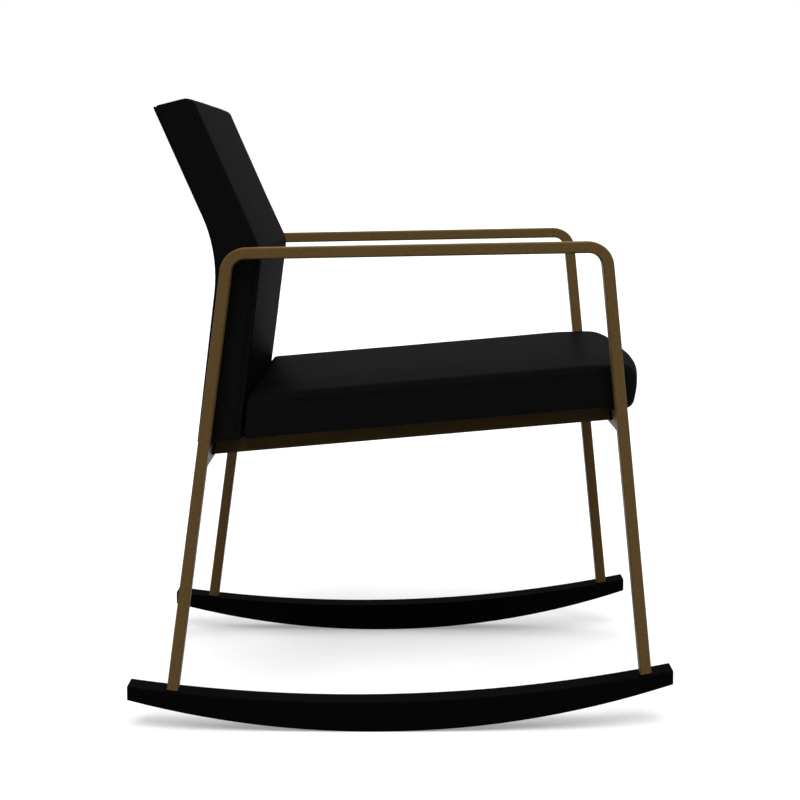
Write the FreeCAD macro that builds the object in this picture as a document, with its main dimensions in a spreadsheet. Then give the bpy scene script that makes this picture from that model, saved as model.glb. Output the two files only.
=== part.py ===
import FreeCAD, Part
import math
import os
import re

import Sketcher
from FreeCAD import Placement, Rotation, Vector

# Rocking chair with bent tube arms, crescent runners and an upholstered seat and back.
# Frame of the model: +Z up, the chair faces -Y, X runs across, origin on the floor at the middle.
# The sitter's right side is at -X. Lengths are millimetres, angles are degrees.

SIZES = [
    # side frames of bent rectangular tube
    ("frame_width", 600.0, "outside to outside of the two side frames"),
    ("tube_width", 14.6, "tube, measured in the plane of the side frame"),
    ("tube_depth", 24.4, "tube, measured across the chair"),
    ("tube_wall", 2.0, "tube wall"),
    ("tube_corner", 2.2, "outside corner radius of the tube"),
    ("bend_radius", 25.0, "centre line radius of the two bends"),
    ("front_reach", 331.4, "front leg's front edge ahead of the middle, taken down to the floor"),
    ("front_rake", 5.9, "front leg leans back going up"),
    ("rear_reach", 307.6, "rear leg's rear edge behind the middle, taken down to the floor"),
    ("rear_rake", 7.77, "rear leg leans forward going up"),
    ("arm_height", 624.0, "top of the arm at the middle"),
    ("arm_rise", 1.05, "arm climbs to the front"),
    # crescent runners
    ("runner_length", 700.0, "runner from end to end"),
    ("runner_width", 44.5, "runner across the chair"),
    ("runner_radius", 1218.0, "rolling arc of the underside"),
    ("runner_low", 34.7, "lowest point of the rolling arc, behind the middle"),
    ("runner_top_radius", 2040.0, "arc of the top face"),
    ("runner_top_low", 59.6, "lowest point of the top arc, behind the middle"),
    ("runner_height", 38.75, "runner top at its lowest point"),
    ("runner_edge", 2.0, "bevel along the runner's long edges"),
    ("leg_bolt_size", 6.0, "bolt that holds a runner to a leg"),
    ("leg_bolt_length", 34.0, "shank of that bolt"),
    ("leg_bolt_sink", 9.0, "depth of the bolt head's pocket above the runner's underside"),
    ("insert_length", 22.0, "threaded plug welded inside a leg's end"),
    ("insert_setback", 3.0, "plug's lower face above the leg's end"),
    # seat carrier
    ("seat_rise", 5.0, "seat plane climbs to the front"),
    ("seat_height", 391.2, "top of the side rails at the middle"),
    ("rail_size", 20.0, "square side rail under the seat"),
    ("rail_wall", 1.5, "side rail wall"),
    ("rail_inset", 66.0, "side rail's outer face, from the side frame's outer face"),
    ("cross_drop", 4.5, "cross rail's top below the seat plane"),
    ("cross_slant", 0.4, "extra drop of the rear cross rail"),
    ("plug_flange", 3.4, "flange of a side rail's end plug"),
    ("plug_lip", 0.6, "flange beyond the rail's section"),
    ("plug_reach", 16.0, "plug's shank inside the rail"),
    ("rail_bolt_size", 5.0, "bolt through a cross rail into a plug"),
    # seat
    ("side_gap", 6.1, "cushions' sides to the side frames"),
    ("seat_gap", 6.0, "cushion's rear lower edge to the back, along the seat plane"),
    ("seat_rear_lean", 10.0, "cushion's rear upper edge ahead of its lower edge"),
    ("seat_overhang", 6.3, "cushion's nose ahead of the front cross rail"),
    ("seat_thick", 56.0, "cushion at its side seam line"),
    ("seat_crown", 7.0, "rise of the cushion's top at the centre line"),
    ("seat_nose", 5.0, "bulge of the nose at the centre line"),
    ("seat_tuck", 4.0, "cushion's front underside below the seat plane"),
    ("seat_tuck_length", 36.0, "length of that lower part behind the nose"),
    ("board_thick", 18.0, "plywood board inside the cushion"),
    ("board_margin", 14.0, "board's edge inside the cushion's edge"),
    ("lining_thick", 1.0, "cloth lining under the board"),
    ("screw_size", 5.0, "screw from a side rail into the board"),
    ("screw_pitch", 150.0, "screws along a side rail"),
    ("screw_bite", 9.0, "screw inside the board"),
    # back
    ("back_lift", 2.1, "back's front lower edge above the seat plane"),
    ("back_setback", 4.1, "core's front face behind the rear cross rail's front face"),
    ("back_lean", 7.03, "lower back leans forward going up"),
    ("back_rake", 23.7, "upper back leans back going up"),
    ("back_thick", 52.0, "back from its front to its rear face"),
    ("back_bottom", 240.0, "length of the front face below the kink"),
    ("back_top", 213.0, "length of the front face above the kink"),
    ("back_top_slope", 16.0, "top face falls to the rear"),
    ("back_foot_slope", 7.0, "underside falls to the rear"),
    ("back_crown", 6.0, "rise of the back's front face at the centre line"),
    ("back_kink_front", 45.0, "radius at the front kink"),
    ("back_kink_rear", 165.0, "radius of the hollow behind the kink"),
    ("core_thick", 9.0, "bent plywood core of the back"),
    ("core_margin", 14.0, "core's edge inside the back's edge"),
    ("rear_skin", 2.6, "padded rear panel over the core"),
    ("soft_edge", 8.0, "rounding where a cushion's faces meet its sides"),
    # back fixings
    ("spacer_size", 18.0, "spacer ring between a rear leg and the back"),
    ("spacer_drop", 54.0, "spacer's centre below the arm's top"),
    ("stud_size", 6.0, "stud through the spacer"),
    ("stud_bite", 22.0, "stud inside the core's edge, past the cushion's side padding"),
    ("strap_width", 40.0, "steel strap from the rear cross rail up to the core"),
    ("strap_thick", 3.0, "strap"),
    ("strap_rise", 58.0, "strap above the cross rail's top"),
    ("strap_offset", 120.0, "strap's centre from the chair's centre line"),
    ("strap_bolt", 6.0, "bolts through the strap"),
    ("slip", 0.3, "clearance round a part that slides into another"),
]

doc = FreeCAD.newDocument("rocking_chair")
sizes = doc.addObject("Spreadsheet::Sheet", "Sizes")
layout = doc.addObject("Spreadsheet::Sheet", "Layout")

for row, (alias, number, note) in enumerate(SIZES, start=1):
    sizes.set(f"A{row}", note)
    sizes.set(f"B{row}", str(number))
    sizes.setAlias(f"B{row}", alias)
doc.recompute()

SIZE_NAMES = {alias for alias, number, note in SIZES}
layout_names = []


def qualify(formula):
    """Give every sheet name in a formula the name of the sheet that holds it."""

    def full(match):
        word = match.group(0)
        if word in SIZE_NAMES:
            return "Sizes." + word
        if word in layout_names:
            return "Layout." + word
        return word

    return re.sub(r"[a-z][a-z_0-9]*", full, formula)


def derive(alias, formula):
    """Keep a worked out value in the layout sheet under its own alias."""
    row = len(layout_names) + 1
    layout.set(f"A{row}", alias)
    layout.set(f"B{row}", "=" + qualify(formula).replace("Layout.", ""))
    layout.setAlias(f"B{row}", alias)
    layout_names.append(alias)
    layout.recompute()
    return alias


def amount(alias):
    """Read one value from the sheet that holds it."""
    sheet = sizes if alias in SIZE_NAMES else layout
    return float(sheet.get(alias))


def point(name, along, up):
    """Name a point of the side view, or of a section, by its two coordinates."""
    derive(name + "_y", along)
    derive(name + "_z", up)
    return name


def crossing(name, start, slope, level, fall):
    """Point where the steep line y = start + slope z meets the flat line z = level - fall y."""
    derive(name + "_y", f"(({start}) + ({slope}) * ({level})) / (1 + ({slope}) * ({fall}))")
    derive(name + "_z", f"({level}) - ({fall}) * {name}_y")
    return name


def spot(name):
    """Coordinates of a named point."""
    return amount(name + "_y"), amount(name + "_z")


def corner_rounding(before, corner, after, radius):
    """Tangent points, centre and turn of a fillet in the corner of two lines."""
    to_before = Vector(before[0] - corner[0], before[1] - corner[1], 0).normalize()
    to_after = Vector(after[0] - corner[0], after[1] - corner[1], 0).normalize()
    half = to_before.getAngle(to_after) / 2
    reach = radius / math.tan(half)
    here = Vector(corner[0], corner[1], 0)
    middle = (to_before + to_after).normalize()
    centre = here + middle * (radius / math.sin(half))
    turn = to_before.cross(to_after).z
    return here + to_before * reach, here + to_after * reach, centre, turn


# Sketches

def origin_plane(body, role):
    """One of a body's own origin planes."""
    return [f for f in body.Origin.OriginFeatures if f.Role == role][0]


def new_sketch(body, name, role, offset=None):
    """A sketch on an origin plane, moved along the plane's normal by a named value."""
    sketch = body.newObject("Sketcher::SketchObject", name)
    sketch.AttachmentSupport = [(origin_plane(body, role), "")]
    sketch.MapMode = "FlatFace"
    if offset:
        sketch.setExpression("AttachmentOffset.Base.z", qualify(offset))
    return sketch


def pin(sketch, geometry, place, name):
    """Hold one end of a sketch line, or a sketch point, at a named point."""
    along, up = spot(name)
    for kind, value, alias in (("DistanceX", along, name + "_y"), ("DistanceY", up, name + "_z")):
        index = sketch.addConstraint(Sketcher.Constraint(kind, -1, 1, geometry, place, value))
        sketch.setExpression(f"Constraints[{index}]", qualify(alias))


def trace(sketch, corners, closed=True):
    """Draw lines through named points; a pair (point, radius name) gets a tangent arc."""
    names = [c if isinstance(c, str) else c[0] for c in corners]
    rounds = [None if isinstance(c, str) else c[1] for c in corners]
    count = len(names)
    spots = [spot(n) for n in names]
    starts, ends, arcs = [], [], []
    for i in range(count):
        here = Vector(spots[i][0], spots[i][1], 0)
        if rounds[i]:
            fillet = corner_rounding(spots[i - 1], spots[i], spots[(i + 1) % count], amount(rounds[i]))
            ends.append(fillet[0])
            starts.append(fillet[1])
            arcs.append(fillet)
        else:
            ends.append(here)
            starts.append(here)
            arcs.append(None)
    spans = count if closed else count - 1
    lines = []
    for i in range(spans):
        line = Part.LineSegment(starts[i], ends[(i + 1) % count])
        lines.append(sketch.addGeometry(line))
    for i in range(count):
        before = lines[i - 1] if (closed or i > 0) else None
        after = lines[i] if i < len(lines) else None
        if arcs[i]:
            round_corner(sketch, names[i], rounds[i], arcs[i], before, after)
        else:
            if after is not None:
                pin(sketch, after, 1, names[i])
            if before is not None and after is not None:
                sketch.addConstraint(Sketcher.Constraint("Coincident", before, 2, after, 1))
            elif before is not None:
                pin(sketch, before, 2, names[i])


def round_corner(sketch, name, radius_name, fillet, before, after):
    """Tangent arc between two sketch lines whose extensions meet at a named point."""
    first, second, centre, turn = fillet
    radius = amount(radius_name)
    angles = [math.atan2(p.y - centre.y, p.x - centre.x) for p in (first, second)]
    if turn < 0:
        ends = (1, 2)
    else:
        angles.reverse()
        ends = (2, 1)
    if angles[1] < angles[0]:
        angles[1] += 2 * math.pi
    circle = Part.Circle(centre, Vector(0, 0, 1), radius)
    arc = sketch.addGeometry(Part.ArcOfCircle(circle, angles[0], angles[1]))
    along, up = spot(name)
    mark = sketch.addGeometry(Part.Point(Vector(along, up, 0)), True)
    pin(sketch, mark, 1, name)
    sketch.addConstraint(Sketcher.Constraint("PointOnObject", mark, 1, before))
    sketch.addConstraint(Sketcher.Constraint("PointOnObject", mark, 1, after))
    sketch.addConstraint(Sketcher.Constraint("Tangent", before, 2, arc, ends[0]))
    sketch.addConstraint(Sketcher.Constraint("Tangent", after, 1, arc, ends[1]))
    index = sketch.addConstraint(Sketcher.Constraint("Radius", arc, radius))
    sketch.setExpression(f"Constraints[{index}]", qualify(radius_name))


def new_body(label):
    """A body whose label names its file."""
    body = doc.addObject("PartDesign::Body", label)
    body.Label = label
    return body


def pad(body, sketch, width):
    """Thicken a side view sketch equally to both sides of its plane."""
    feature = body.newObject("PartDesign::Pad", sketch.Name + "_pad")
    feature.Profile = sketch
    feature.SideType = "Symmetric"
    feature.setExpression("Length", qualify(width))
    return feature


def pocket(body, sketch, width):
    """Cut a side view sketch equally to both sides of its plane."""
    feature = body.newObject("PartDesign::Pocket", sketch.Name + "_cut")
    feature.Profile = sketch
    feature.SideType = "Symmetric"
    feature.setExpression("Length", qualify(width))
    return feature


def slab(label, corners, width, offset, hollow=None, hollow_width=None):
    """A side view outline padded across the chair, with an optional passage through it."""
    body = new_body(label)
    sketch = new_sketch(body, label + "_outline", "YZ_Plane", offset)
    trace(sketch, corners)
    pad(body, sketch, width)
    if hollow:
        inner = new_sketch(body, label + "_bore", "YZ_Plane", offset)
        trace(inner, hollow)
        pocket(body, inner, hollow_width)
    return body


def put(item, across, along, up, tilt=None, roll=None):
    """Bind a primitive's placement: a place, and a turn about X, or about Y where roll is given."""
    angle = tilt or roll or "0"
    turn = -1 if angle.startswith("-") else 1
    axis = Vector(0, turn, 0) if roll else Vector(turn, 0, 0)
    item.Placement = Placement(Vector(0, 0, 0), Rotation(axis, 1))
    item.setExpression("Placement.Base.x", qualify(across))
    item.setExpression("Placement.Base.y", qualify(along))
    item.setExpression("Placement.Base.z", qualify(up))
    item.setExpression("Placement.Rotation.Angle", qualify(angle.lstrip("-")))
    return item


def rod(name, radius, length, across, along, up, tilt=None, roll=None):
    """A cylinder from a place, along +Z turned by tilt about X or roll about Y."""
    item = doc.addObject("Part::Cylinder", name)
    item.setExpression("Radius", qualify(radius))
    item.setExpression("Height", qualify(length))
    return put(item, across, along, up, tilt, roll)


def cut(label, base, tools):
    """The base without its tools."""
    for count, tool in enumerate(tools):
        last = count == len(tools) - 1
        result = doc.addObject("Part::Cut", label if last else f"{label}_step_{count}")
        result.Base = base
        result.Tool = tool
        base = result
    base.Label = label
    return base


def join(label, items):
    """Items fused to one solid."""
    result = doc.addObject("Part::MultiFuse", label)
    result.Shapes = items
    result.Refine = True
    result.Label = label
    return result


def group(label, items):
    """Separate solids that share one file."""
    result = doc.addObject("Part::Compound", label)
    result.Links = items
    result.Label = label
    return result


finished = []


def keep(item):
    """Add a sub-part to those that are written."""
    finished.append(item)
    return item


# Lines of the side view

derive("front_slope", "tan(front_rake)")
derive("rear_slope", "tan(rear_rake)")
derive("arm_slope", "tan(arm_rise)")
derive("seat_slope", "tan(seat_rise)")
derive("front_inner", "-front_reach + tube_width / cos(front_rake)")
derive("front_mid", "-front_reach + tube_width / 2 / cos(front_rake)")
derive("rear_inner", "rear_reach - tube_width / cos(rear_rake)")
derive("rear_mid", "rear_reach - tube_width / 2 / cos(rear_rake)")
derive("arm_mid", "arm_height - tube_width / 2 / cos(arm_rise)")
derive("tube_offset", "frame_width / 2 - tube_depth / 2")
derive("inside_width", "frame_width - 2 * tube_depth")


def seat_line(offset):
    """Height at the middle of a line parallel to the seat plane, an offset above it."""
    return f"seat_height + ({offset}) / cos(seat_rise)"


def seat_point(name, along, above):
    """A point given along the seat plane and square to it."""
    derive(name + "_y", f"({along}) * cos(seat_rise) + ({above}) * sin(seat_rise)")
    derive(name + "_z", f"seat_height - ({along}) * sin(seat_rise) + ({above}) * cos(seat_rise)")
    return name


# Runner: two arcs and two upright ends

def arc_height(radius, low, lift, along):
    """Height of an arc that sags to its lowest point."""
    return f"({lift}) + {radius} - sqrt({radius} ^ 2 - (({along}) - {low}) ^ 2)"


derive("runner_end", "runner_length / 2")
UNDERSIDE = ("runner_radius", "runner_low", "0")
TOP_FACE = ("runner_top_radius", "runner_top_low", "runner_height")
for end, sign in (("front", "-"), ("rear", "")):
    place = f"{sign}runner_end"
    point(f"runner_{end}_low", place, arc_height(*UNDERSIDE, place))
    point(f"runner_{end}_high", place, arc_height(*TOP_FACE, place))


def add_arc(sketch, start, end, radius_name, low_name, lift):
    """An upward opening arc between two named points."""
    radius = amount(radius_name)
    centre = Vector(amount(low_name), lift + radius, 0)
    angles = []
    for name in (start, end):
        along, up = spot(name)
        angles.append(math.atan2(up - centre.y, along - centre.x))
    circle = Part.Circle(centre, Vector(0, 0, 1), radius)
    arc = sketch.addGeometry(Part.ArcOfCircle(circle, angles[0], angles[1]))
    index = sketch.addConstraint(Sketcher.Constraint("Radius", arc, radius))
    sketch.setExpression(f"Constraints[{index}]", qualify(radius_name))
    return arc


def close_line(sketch, start, end, first, second):
    """A line between the ends of two arcs, with its ends held at named points."""
    a = Vector(*spot(start), 0)
    b = Vector(*spot(end), 0)
    line = sketch.addGeometry(Part.LineSegment(a, b))
    pin(sketch, line, 1, start)
    pin(sketch, line, 2, end)
    sketch.addConstraint(Sketcher.Constraint("Coincident", line, 1, *first))
    sketch.addConstraint(Sketcher.Constraint("Coincident", line, 2, *second))


def long_edges(shape, least):
    """Names of the edges at least so long."""
    return [f"Edge{i}" for i, edge in enumerate(shape.Edges, start=1) if edge.Length > least]


def make_runner(side, sign):
    """Crescent runner with bevelled edges and two bolt pockets from below."""
    blank = new_body(f"runner_blank_{side}")
    sketch = new_sketch(blank, f"runner_outline_{side}", "YZ_Plane", f"{sign}tube_offset")
    low = add_arc(sketch, "runner_front_low", "runner_rear_low", "runner_radius", "runner_low", 0.0)
    high = add_arc(
        sketch, "runner_front_high", "runner_rear_high",
        "runner_top_radius", "runner_top_low", amount("runner_height"),
    )
    close_line(sketch, "runner_front_low", "runner_front_high", (low, 1), (high, 1))
    close_line(sketch, "runner_rear_low", "runner_rear_high", (low, 2), (high, 2))
    body = pad(blank, sketch, "runner_width")
    doc.recompute()
    bevel = blank.newObject("PartDesign::Chamfer", f"runner_bevel_{side}")
    bevel.Base = (body, long_edges(body.Shape, 0.5 * amount("runner_length")))
    bevel.setExpression("Size", qualify("runner_edge"))
    holes = []
    for leg in ("front", "rear"):
        holes += bolt_room(f"runner_{leg}_{side}", leg, f"{sign}tube_offset")
    return cut(f"runner_{side}", blank, holes)


# Feet: where a leg's centre line meets the runner's top face

for leg, mid, slope in (("front", "front_mid", "front_slope"), ("rear", "rear_mid", "-rear_slope")):
    derive(f"{leg}_foot_guess", arc_height(*TOP_FACE, mid))
    derive(f"{leg}_foot_y", f"{mid} + ({slope}) * {leg}_foot_guess")
    derive(f"{leg}_foot_z", arc_height(*TOP_FACE, f"{leg}_foot_y"))

LEG_TILT = {"front": "-front_rake", "rear": "rear_rake"}
LEG_SINE = {"front": "sin(front_rake)", "rear": "-sin(rear_rake)"}
LEG_COSINE = {"front": "cos(front_rake)", "rear": "cos(rear_rake)"}


def up_leg(leg, distance):
    """Place on a leg's centre line, a distance up the leg from its foot."""
    along = f"{leg}_foot_y + ({distance}) * {LEG_SINE[leg]}"
    up = f"{leg}_foot_z + ({distance}) * {LEG_COSINE[leg]}"
    return along, up


HEAD_RATIO = 0.85
HEAD_HEIGHT_RATIO = 0.6
SOCKET_RATIO = 0.42
for leg in ("front", "rear"):
    derive(f"{leg}_depth", f"{leg}_foot_z - ({arc_height(*UNDERSIDE, leg + '_foot_y')})")
    derive(f"{leg}_shank_start", f"leg_bolt_sink - {leg}_depth")
    derive(f"{leg}_bolt_start", f"{leg}_shank_start - {HEAD_HEIGHT_RATIO} * leg_bolt_size")


def bolt_room(name, leg, across):
    """Head pocket and shank hole through a runner, on the leg's axis."""
    pocket_start = up_leg(leg, f"{leg}_shank_start - 2 * leg_bolt_sink")
    shank_start = up_leg(leg, f"{leg}_shank_start - leg_bolt_sink")
    head_room = rod(
        name + "_pocket", f"{HEAD_RATIO} * leg_bolt_size + 3 * slip", "2 * leg_bolt_sink",
        across, *pocket_start, LEG_TILT[leg],
    )
    shank_room = rod(
        name + "_hole", "leg_bolt_size / 2 + slip", "runner_height + leg_bolt_sink",
        across, *shank_start, LEG_TILT[leg],
    )
    return [head_room, shank_room]


def make_bolt(label, size, length, across, start, shank, tilt):
    """Socket head bolt: head, shank and a six sided socket, from the head's outer face up."""
    head = rod(label + "_head", f"{HEAD_RATIO} * {size}", f"{HEAD_HEIGHT_RATIO} * {size}", across, *start, tilt)
    body = rod(label + "_shank", f"{size} / 2", length, across, *shank, tilt)
    socket = doc.addObject("Part::Prism", label + "_socket")
    socket.Polygon = 6
    socket.setExpression("Circumradius", qualify(f"{SOCKET_RATIO} * {size}"))
    socket.setExpression("Height", qualify(f"{HEAD_HEIGHT_RATIO} * {size} / 2"))
    put(socket, across, *start, tilt)
    return cut(label, join(label + "_blank", [head, body]), [socket])


def make_leg_fixing(leg, side, sign):
    """Threaded plug in a leg's end, and the bolt that comes up through the runner."""
    across = f"{sign}tube_offset"
    plug = doc.addObject("Part::Box", f"leg_insert_block_{leg}_{side}")
    plug.setExpression("Length", qualify("tube_depth - 2 * tube_wall - slip"))
    plug.setExpression("Width", qualify("tube_width - 2 * tube_wall - slip"))
    plug.setExpression("Height", qualify("insert_length"))
    half = "((tube_width - 2 * tube_wall - slip) / 2)"
    along, up = up_leg(leg, "insert_setback")
    put(
        plug, f"{across} - (tube_depth - 2 * tube_wall - slip) / 2",
        f"{along} - {half} * {LEG_COSINE[leg]}", f"{up} + {half} * {LEG_SINE[leg]}", LEG_TILT[leg],
    )
    bore = rod(
        f"leg_insert_bore_{leg}_{side}", "leg_bolt_size / 2 + slip / 4", "insert_length + insert_setback",
        across, *up_leg(leg, "0"), LEG_TILT[leg],
    )
    keep(cut(f"leg_insert_{leg}_{side}", plug, [bore]))
    start = up_leg(leg, f"{leg}_bolt_start")
    shank = up_leg(leg, f"{leg}_shank_start")
    keep(make_bolt(f"runner_bolt_{leg}_{side}", "leg_bolt_size", "leg_bolt_length", across, start, shank, LEG_TILT[leg]))


SIDES = (("right", "-"), ("left", ""))

# Side frame: one tube, bent twice, its legs trimmed to the runner's top face

LEG_START = "runner_height / 2"
for leg, mid, slope in (("front", "front_mid", "front_slope"), ("rear", "rear_mid", "-rear_slope")):
    point(f"{leg}_start", f"{mid} + ({slope}) * {LEG_START}", LEG_START)
    crossing(f"{leg}_bend", mid, slope, "arm_mid", "arm_slope")
for name, depth, width in (
    ("tube", "tube_depth / 2", "tube_width / 2"),
    ("bore", "(tube_depth / 2 - tube_wall)", "(tube_width / 2 - tube_wall)"),
):
    for corner, first, second in (("a", "-", "-"), ("b", "", "-"), ("c", "", ""), ("d", "-", "")):
        point(f"{name}_{corner}", first + depth, second + width)
derive("bore_corner", "tube_corner / 2")
TUBE_SECTION = [(f"tube_{corner}", "tube_corner") for corner in "abcd"]
BORE_SECTION = [(f"bore_{corner}", "bore_corner") for corner in "abcd"]


def make_side_frame(side, sign):
    """Front leg, arm and rear leg in one bent tube, trimmed to the runner's top face."""
    body = new_body(f"frame_tube_{side}")
    path = new_sketch(body, f"frame_path_{side}", "YZ_Plane", f"{sign}tube_offset")
    bends = [("front_bend", "bend_radius"), ("rear_bend", "bend_radius")]
    trace(path, ["front_start"] + bends + ["rear_start"], closed=False)
    section = new_sketch(body, f"frame_section_{side}", "XY_Plane")
    section.AttachmentOffset = Placement(Vector(0, 0, 0), Rotation(Vector(-1, 0, 0), 1))
    section.setExpression("AttachmentOffset.Base.x", qualify(f"{sign}tube_offset"))
    section.setExpression("AttachmentOffset.Base.y", qualify("front_start_y"))
    section.setExpression("AttachmentOffset.Base.z", qualify("front_start_z"))
    section.setExpression("AttachmentOffset.Rotation.Angle", qualify("front_rake"))
    trace(section, TUBE_SECTION)
    trace(section, BORE_SECTION)
    doc.recompute()
    pipe = body.newObject("PartDesign::AdditivePipe", f"frame_pipe_{side}")
    pipe.Profile = section
    pipe.Spine = (path, [f"Edge{i}" for i in range(1, 6)])
    above = rod(
        f"frame_trim_{side}", "runner_top_radius", "2 * tube_depth", f"{sign}tube_offset - tube_depth",
        "runner_top_low", "runner_height + runner_top_radius", roll="90",
    )
    trimmed = doc.addObject("Part::Common", f"side_frame_{side}")
    trimmed.Base = body
    trimmed.Tool = above
    trimmed.Label = f"side_frame_{side}"
    return trimmed


# Cross rails: the same tube stock on edge, between the side frames, in line with the legs

OUTWARD = {
    "front": ("-cos(front_rake)", "sin(front_rake)"),
    "rear": ("cos(rear_rake)", "sin(rear_rake)"),
}
DOWNWARD = {
    "front": ("-sin(front_rake)", "-cos(front_rake)"),
    "rear": ("sin(rear_rake)", "-cos(rear_rake)"),
}
INNER_FACE = {"front": ("front_inner", "front_slope"), "rear": ("rear_inner", "-rear_slope")}
CROSS_DROP = {"front": "cross_drop", "rear": "cross_drop + cross_slant"}


def off_leg(leg, start, outward, downward):
    """Formulas of a place moved outward from the inner face of a leg and down along it."""
    moves = []
    for axis, letter in enumerate("yz"):
        moves.append(
            f"{start}_{letter} + ({outward}) * ({OUTWARD[leg][axis]})"
            f" + ({downward}) * ({DOWNWARD[leg][axis]})"
        )
    return moves


for leg in ("front", "rear"):
    crossing(f"{leg}_cross_a", *INNER_FACE[leg], seat_line(f"-({CROSS_DROP[leg]})"), "seat_slope")
    for name, outward, downward in (
        ("cross_b", "tube_width", "0"),
        ("cross_c", "tube_width", "tube_depth"),
        ("cross_d", "0", "tube_depth"),
        ("hollow_a", "tube_wall", "tube_wall"),
        ("hollow_b", "tube_width - tube_wall", "tube_wall"),
        ("hollow_c", "tube_width - tube_wall", "tube_depth - tube_wall"),
        ("hollow_d", "tube_wall", "tube_depth - tube_wall"),
    ):
        point(f"{leg}_{name}", *off_leg(leg, f"{leg}_cross_a", outward, downward))

# Side rails and their end plugs, between the cross rails

derive("front_bolt_turn", "90 + front_rake")
derive("rear_bolt_turn", "90 + rear_rake")
BOLT_TURN = {"front": "-front_bolt_turn", "rear": "rear_bolt_turn"}
for leg in ("front", "rear"):
    crossing(f"{leg}_bolt_face", *INNER_FACE[leg], seat_line("-rail_size / 2"), "seat_slope")
derive("rail_offset", "frame_width / 2 - rail_inset - rail_size / 2")
for leg, away in (("front", "+"), ("rear", "-")):
    inner, slope = INNER_FACE[leg]
    flange_face = f"{inner} {away} plug_flange / {LEG_COSINE[leg]}"
    shank_end = f"{inner} {away} (plug_flange + plug_reach) / {LEG_COSINE[leg]}"
    for name, start, offset in (
        ("rail_top", flange_face, "0"),
        ("rail_base", flange_face, "-rail_size"),
        ("tube_top", flange_face, "-rail_wall"),
        ("tube_base", flange_face, "rail_wall - rail_size"),
        ("flange_top", inner, "0"),
        ("flange_base", inner, "-rail_size - plug_lip"),
        ("flange_foot", flange_face, "-rail_size - plug_lip"),
        ("shank_top", shank_end, "-rail_wall - slip / 2"),
        ("shank_base", shank_end, "rail_wall + slip / 2 - rail_size"),
        ("neck_top", flange_face, "-rail_wall - slip / 2"),
        ("neck_base", flange_face, "rail_wall + slip / 2 - rail_size"),
    ):
        crossing(f"{leg}_{name}", start, slope, seat_line(offset), "seat_slope")


def seat_place(along, above):
    """Formulas of a place given along the seat plane and square to it."""
    y = f"({along}) * cos(seat_rise) + ({above}) * sin(seat_rise)"
    z = f"seat_height - ({along}) * sin(seat_rise) + ({above}) * cos(seat_rise)"
    return y, z


SCREW_PLACES = ("-screw_pitch", "0", "screw_pitch")


def seat_rod(name, radius, length, across, place, low):
    """A cylinder square to the seat plane."""
    return rod(name, radius, length, across, *seat_place(place, low), "-seat_rise")


def seat_cone(name, play, across, place):
    """A countersunk head whose wide face lies in the side rail's lower face."""
    cone = doc.addObject("Part::Cone", name)
    cone.setExpression("Radius1", qualify(f"0.9 * screw_size + {play}"))
    cone.setExpression("Radius2", qualify(f"screw_size / 2 + {play}"))
    cone.setExpression("Height", qualify("screw_size / 2"))
    return put(cone, across, *seat_place(place, "-rail_size"), "-seat_rise")


def make_side_rail(side, sign):
    """Square tube under the seat's edge, with three countersunk screw holes."""
    offset = f"{sign}rail_offset"
    corners = ["front_rail_base", "rear_rail_base", "rear_rail_top", "front_rail_top"]
    body = slab(f"seat_rail_blank_{side}", corners, "rail_size", offset)
    bore = new_sketch(body, f"seat_rail_bore_{side}", "YZ_Plane", offset)
    trace(bore, ["front_tube_base", "rear_tube_base", "rear_tube_top", "front_tube_top"])
    pocket(body, bore, "rail_size - 2 * rail_wall")
    holes = []
    for number, place in enumerate(SCREW_PLACES, start=1):
        tag = f"{side}_{number}"
        holes.append(seat_rod(
            f"seat_rail_hole_{tag}", "screw_size / 2 + slip", "3 * rail_size", offset, place, "-2 * rail_size",
        ))
        holes.append(seat_cone(f"seat_rail_sink_{tag}", "slip", offset, place))
    return cut(f"seat_rail_{side}", body, holes)


def make_plug(leg, side, sign):
    """Moulded plug: a flange against the cross rail and a shank inside the side rail."""
    offset = f"{sign}rail_offset"
    label = f"rail_plug_{leg}_{side}"
    flange = [f"{leg}_flange_top", f"{leg}_flange_base", f"{leg}_flange_foot", f"{leg}_rail_top"]
    shank = [f"{leg}_neck_top", f"{leg}_neck_base", f"{leg}_shank_base", f"{leg}_shank_top"]
    body = new_body(f"{label}_blank")
    outline = new_sketch(body, f"{label}_flange", "YZ_Plane", offset)
    trace(outline, flange)
    pad(body, outline, "rail_size + 2 * plug_lip")
    neck = new_sketch(body, f"{label}_neck", "YZ_Plane", offset)
    trace(neck, shank)
    pad(body, neck, "rail_size - 2 * rail_wall - slip")
    return cut(label, body, [bolt_bore(f"{label}_bore", leg, f"{sign}rail_offset", "slip / 4")])


def bolt_bore(name, leg, across, play):
    """Round passage square through a cross rail and on into a side rail's plug."""
    start = off_leg(leg, f"{leg}_bolt_face", "2 * tube_width", "0")
    return rod(name, f"rail_bolt_size / 2 + {play}", "3 * tube_width + plug_reach", across, *start, BOLT_TURN[leg])


def make_cross_rail(leg):
    """Tube between the side frames, drilled for the two rail bolts."""
    label = f"cross_rail_{leg}"
    corners = [f"{leg}_cross_{c}" for c in "abcd"]
    hollow = [f"{leg}_hollow_{c}" for c in "abcd"]
    body = slab(f"{label}_blank", corners, "inside_width", None, hollow, "inside_width")
    holes = [bolt_bore(f"{label}_hole_{side}", leg, f"{sign}rail_offset", "slip") for side, sign in SIDES]
    if leg == "rear":
        for side, sign in SIDES:
            holes.append(strap_hole(f"{label}_strap_hole_{side}", "strap_low", f"{sign}strap_offset", "0"))
    return cut(label, body, holes)


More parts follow.
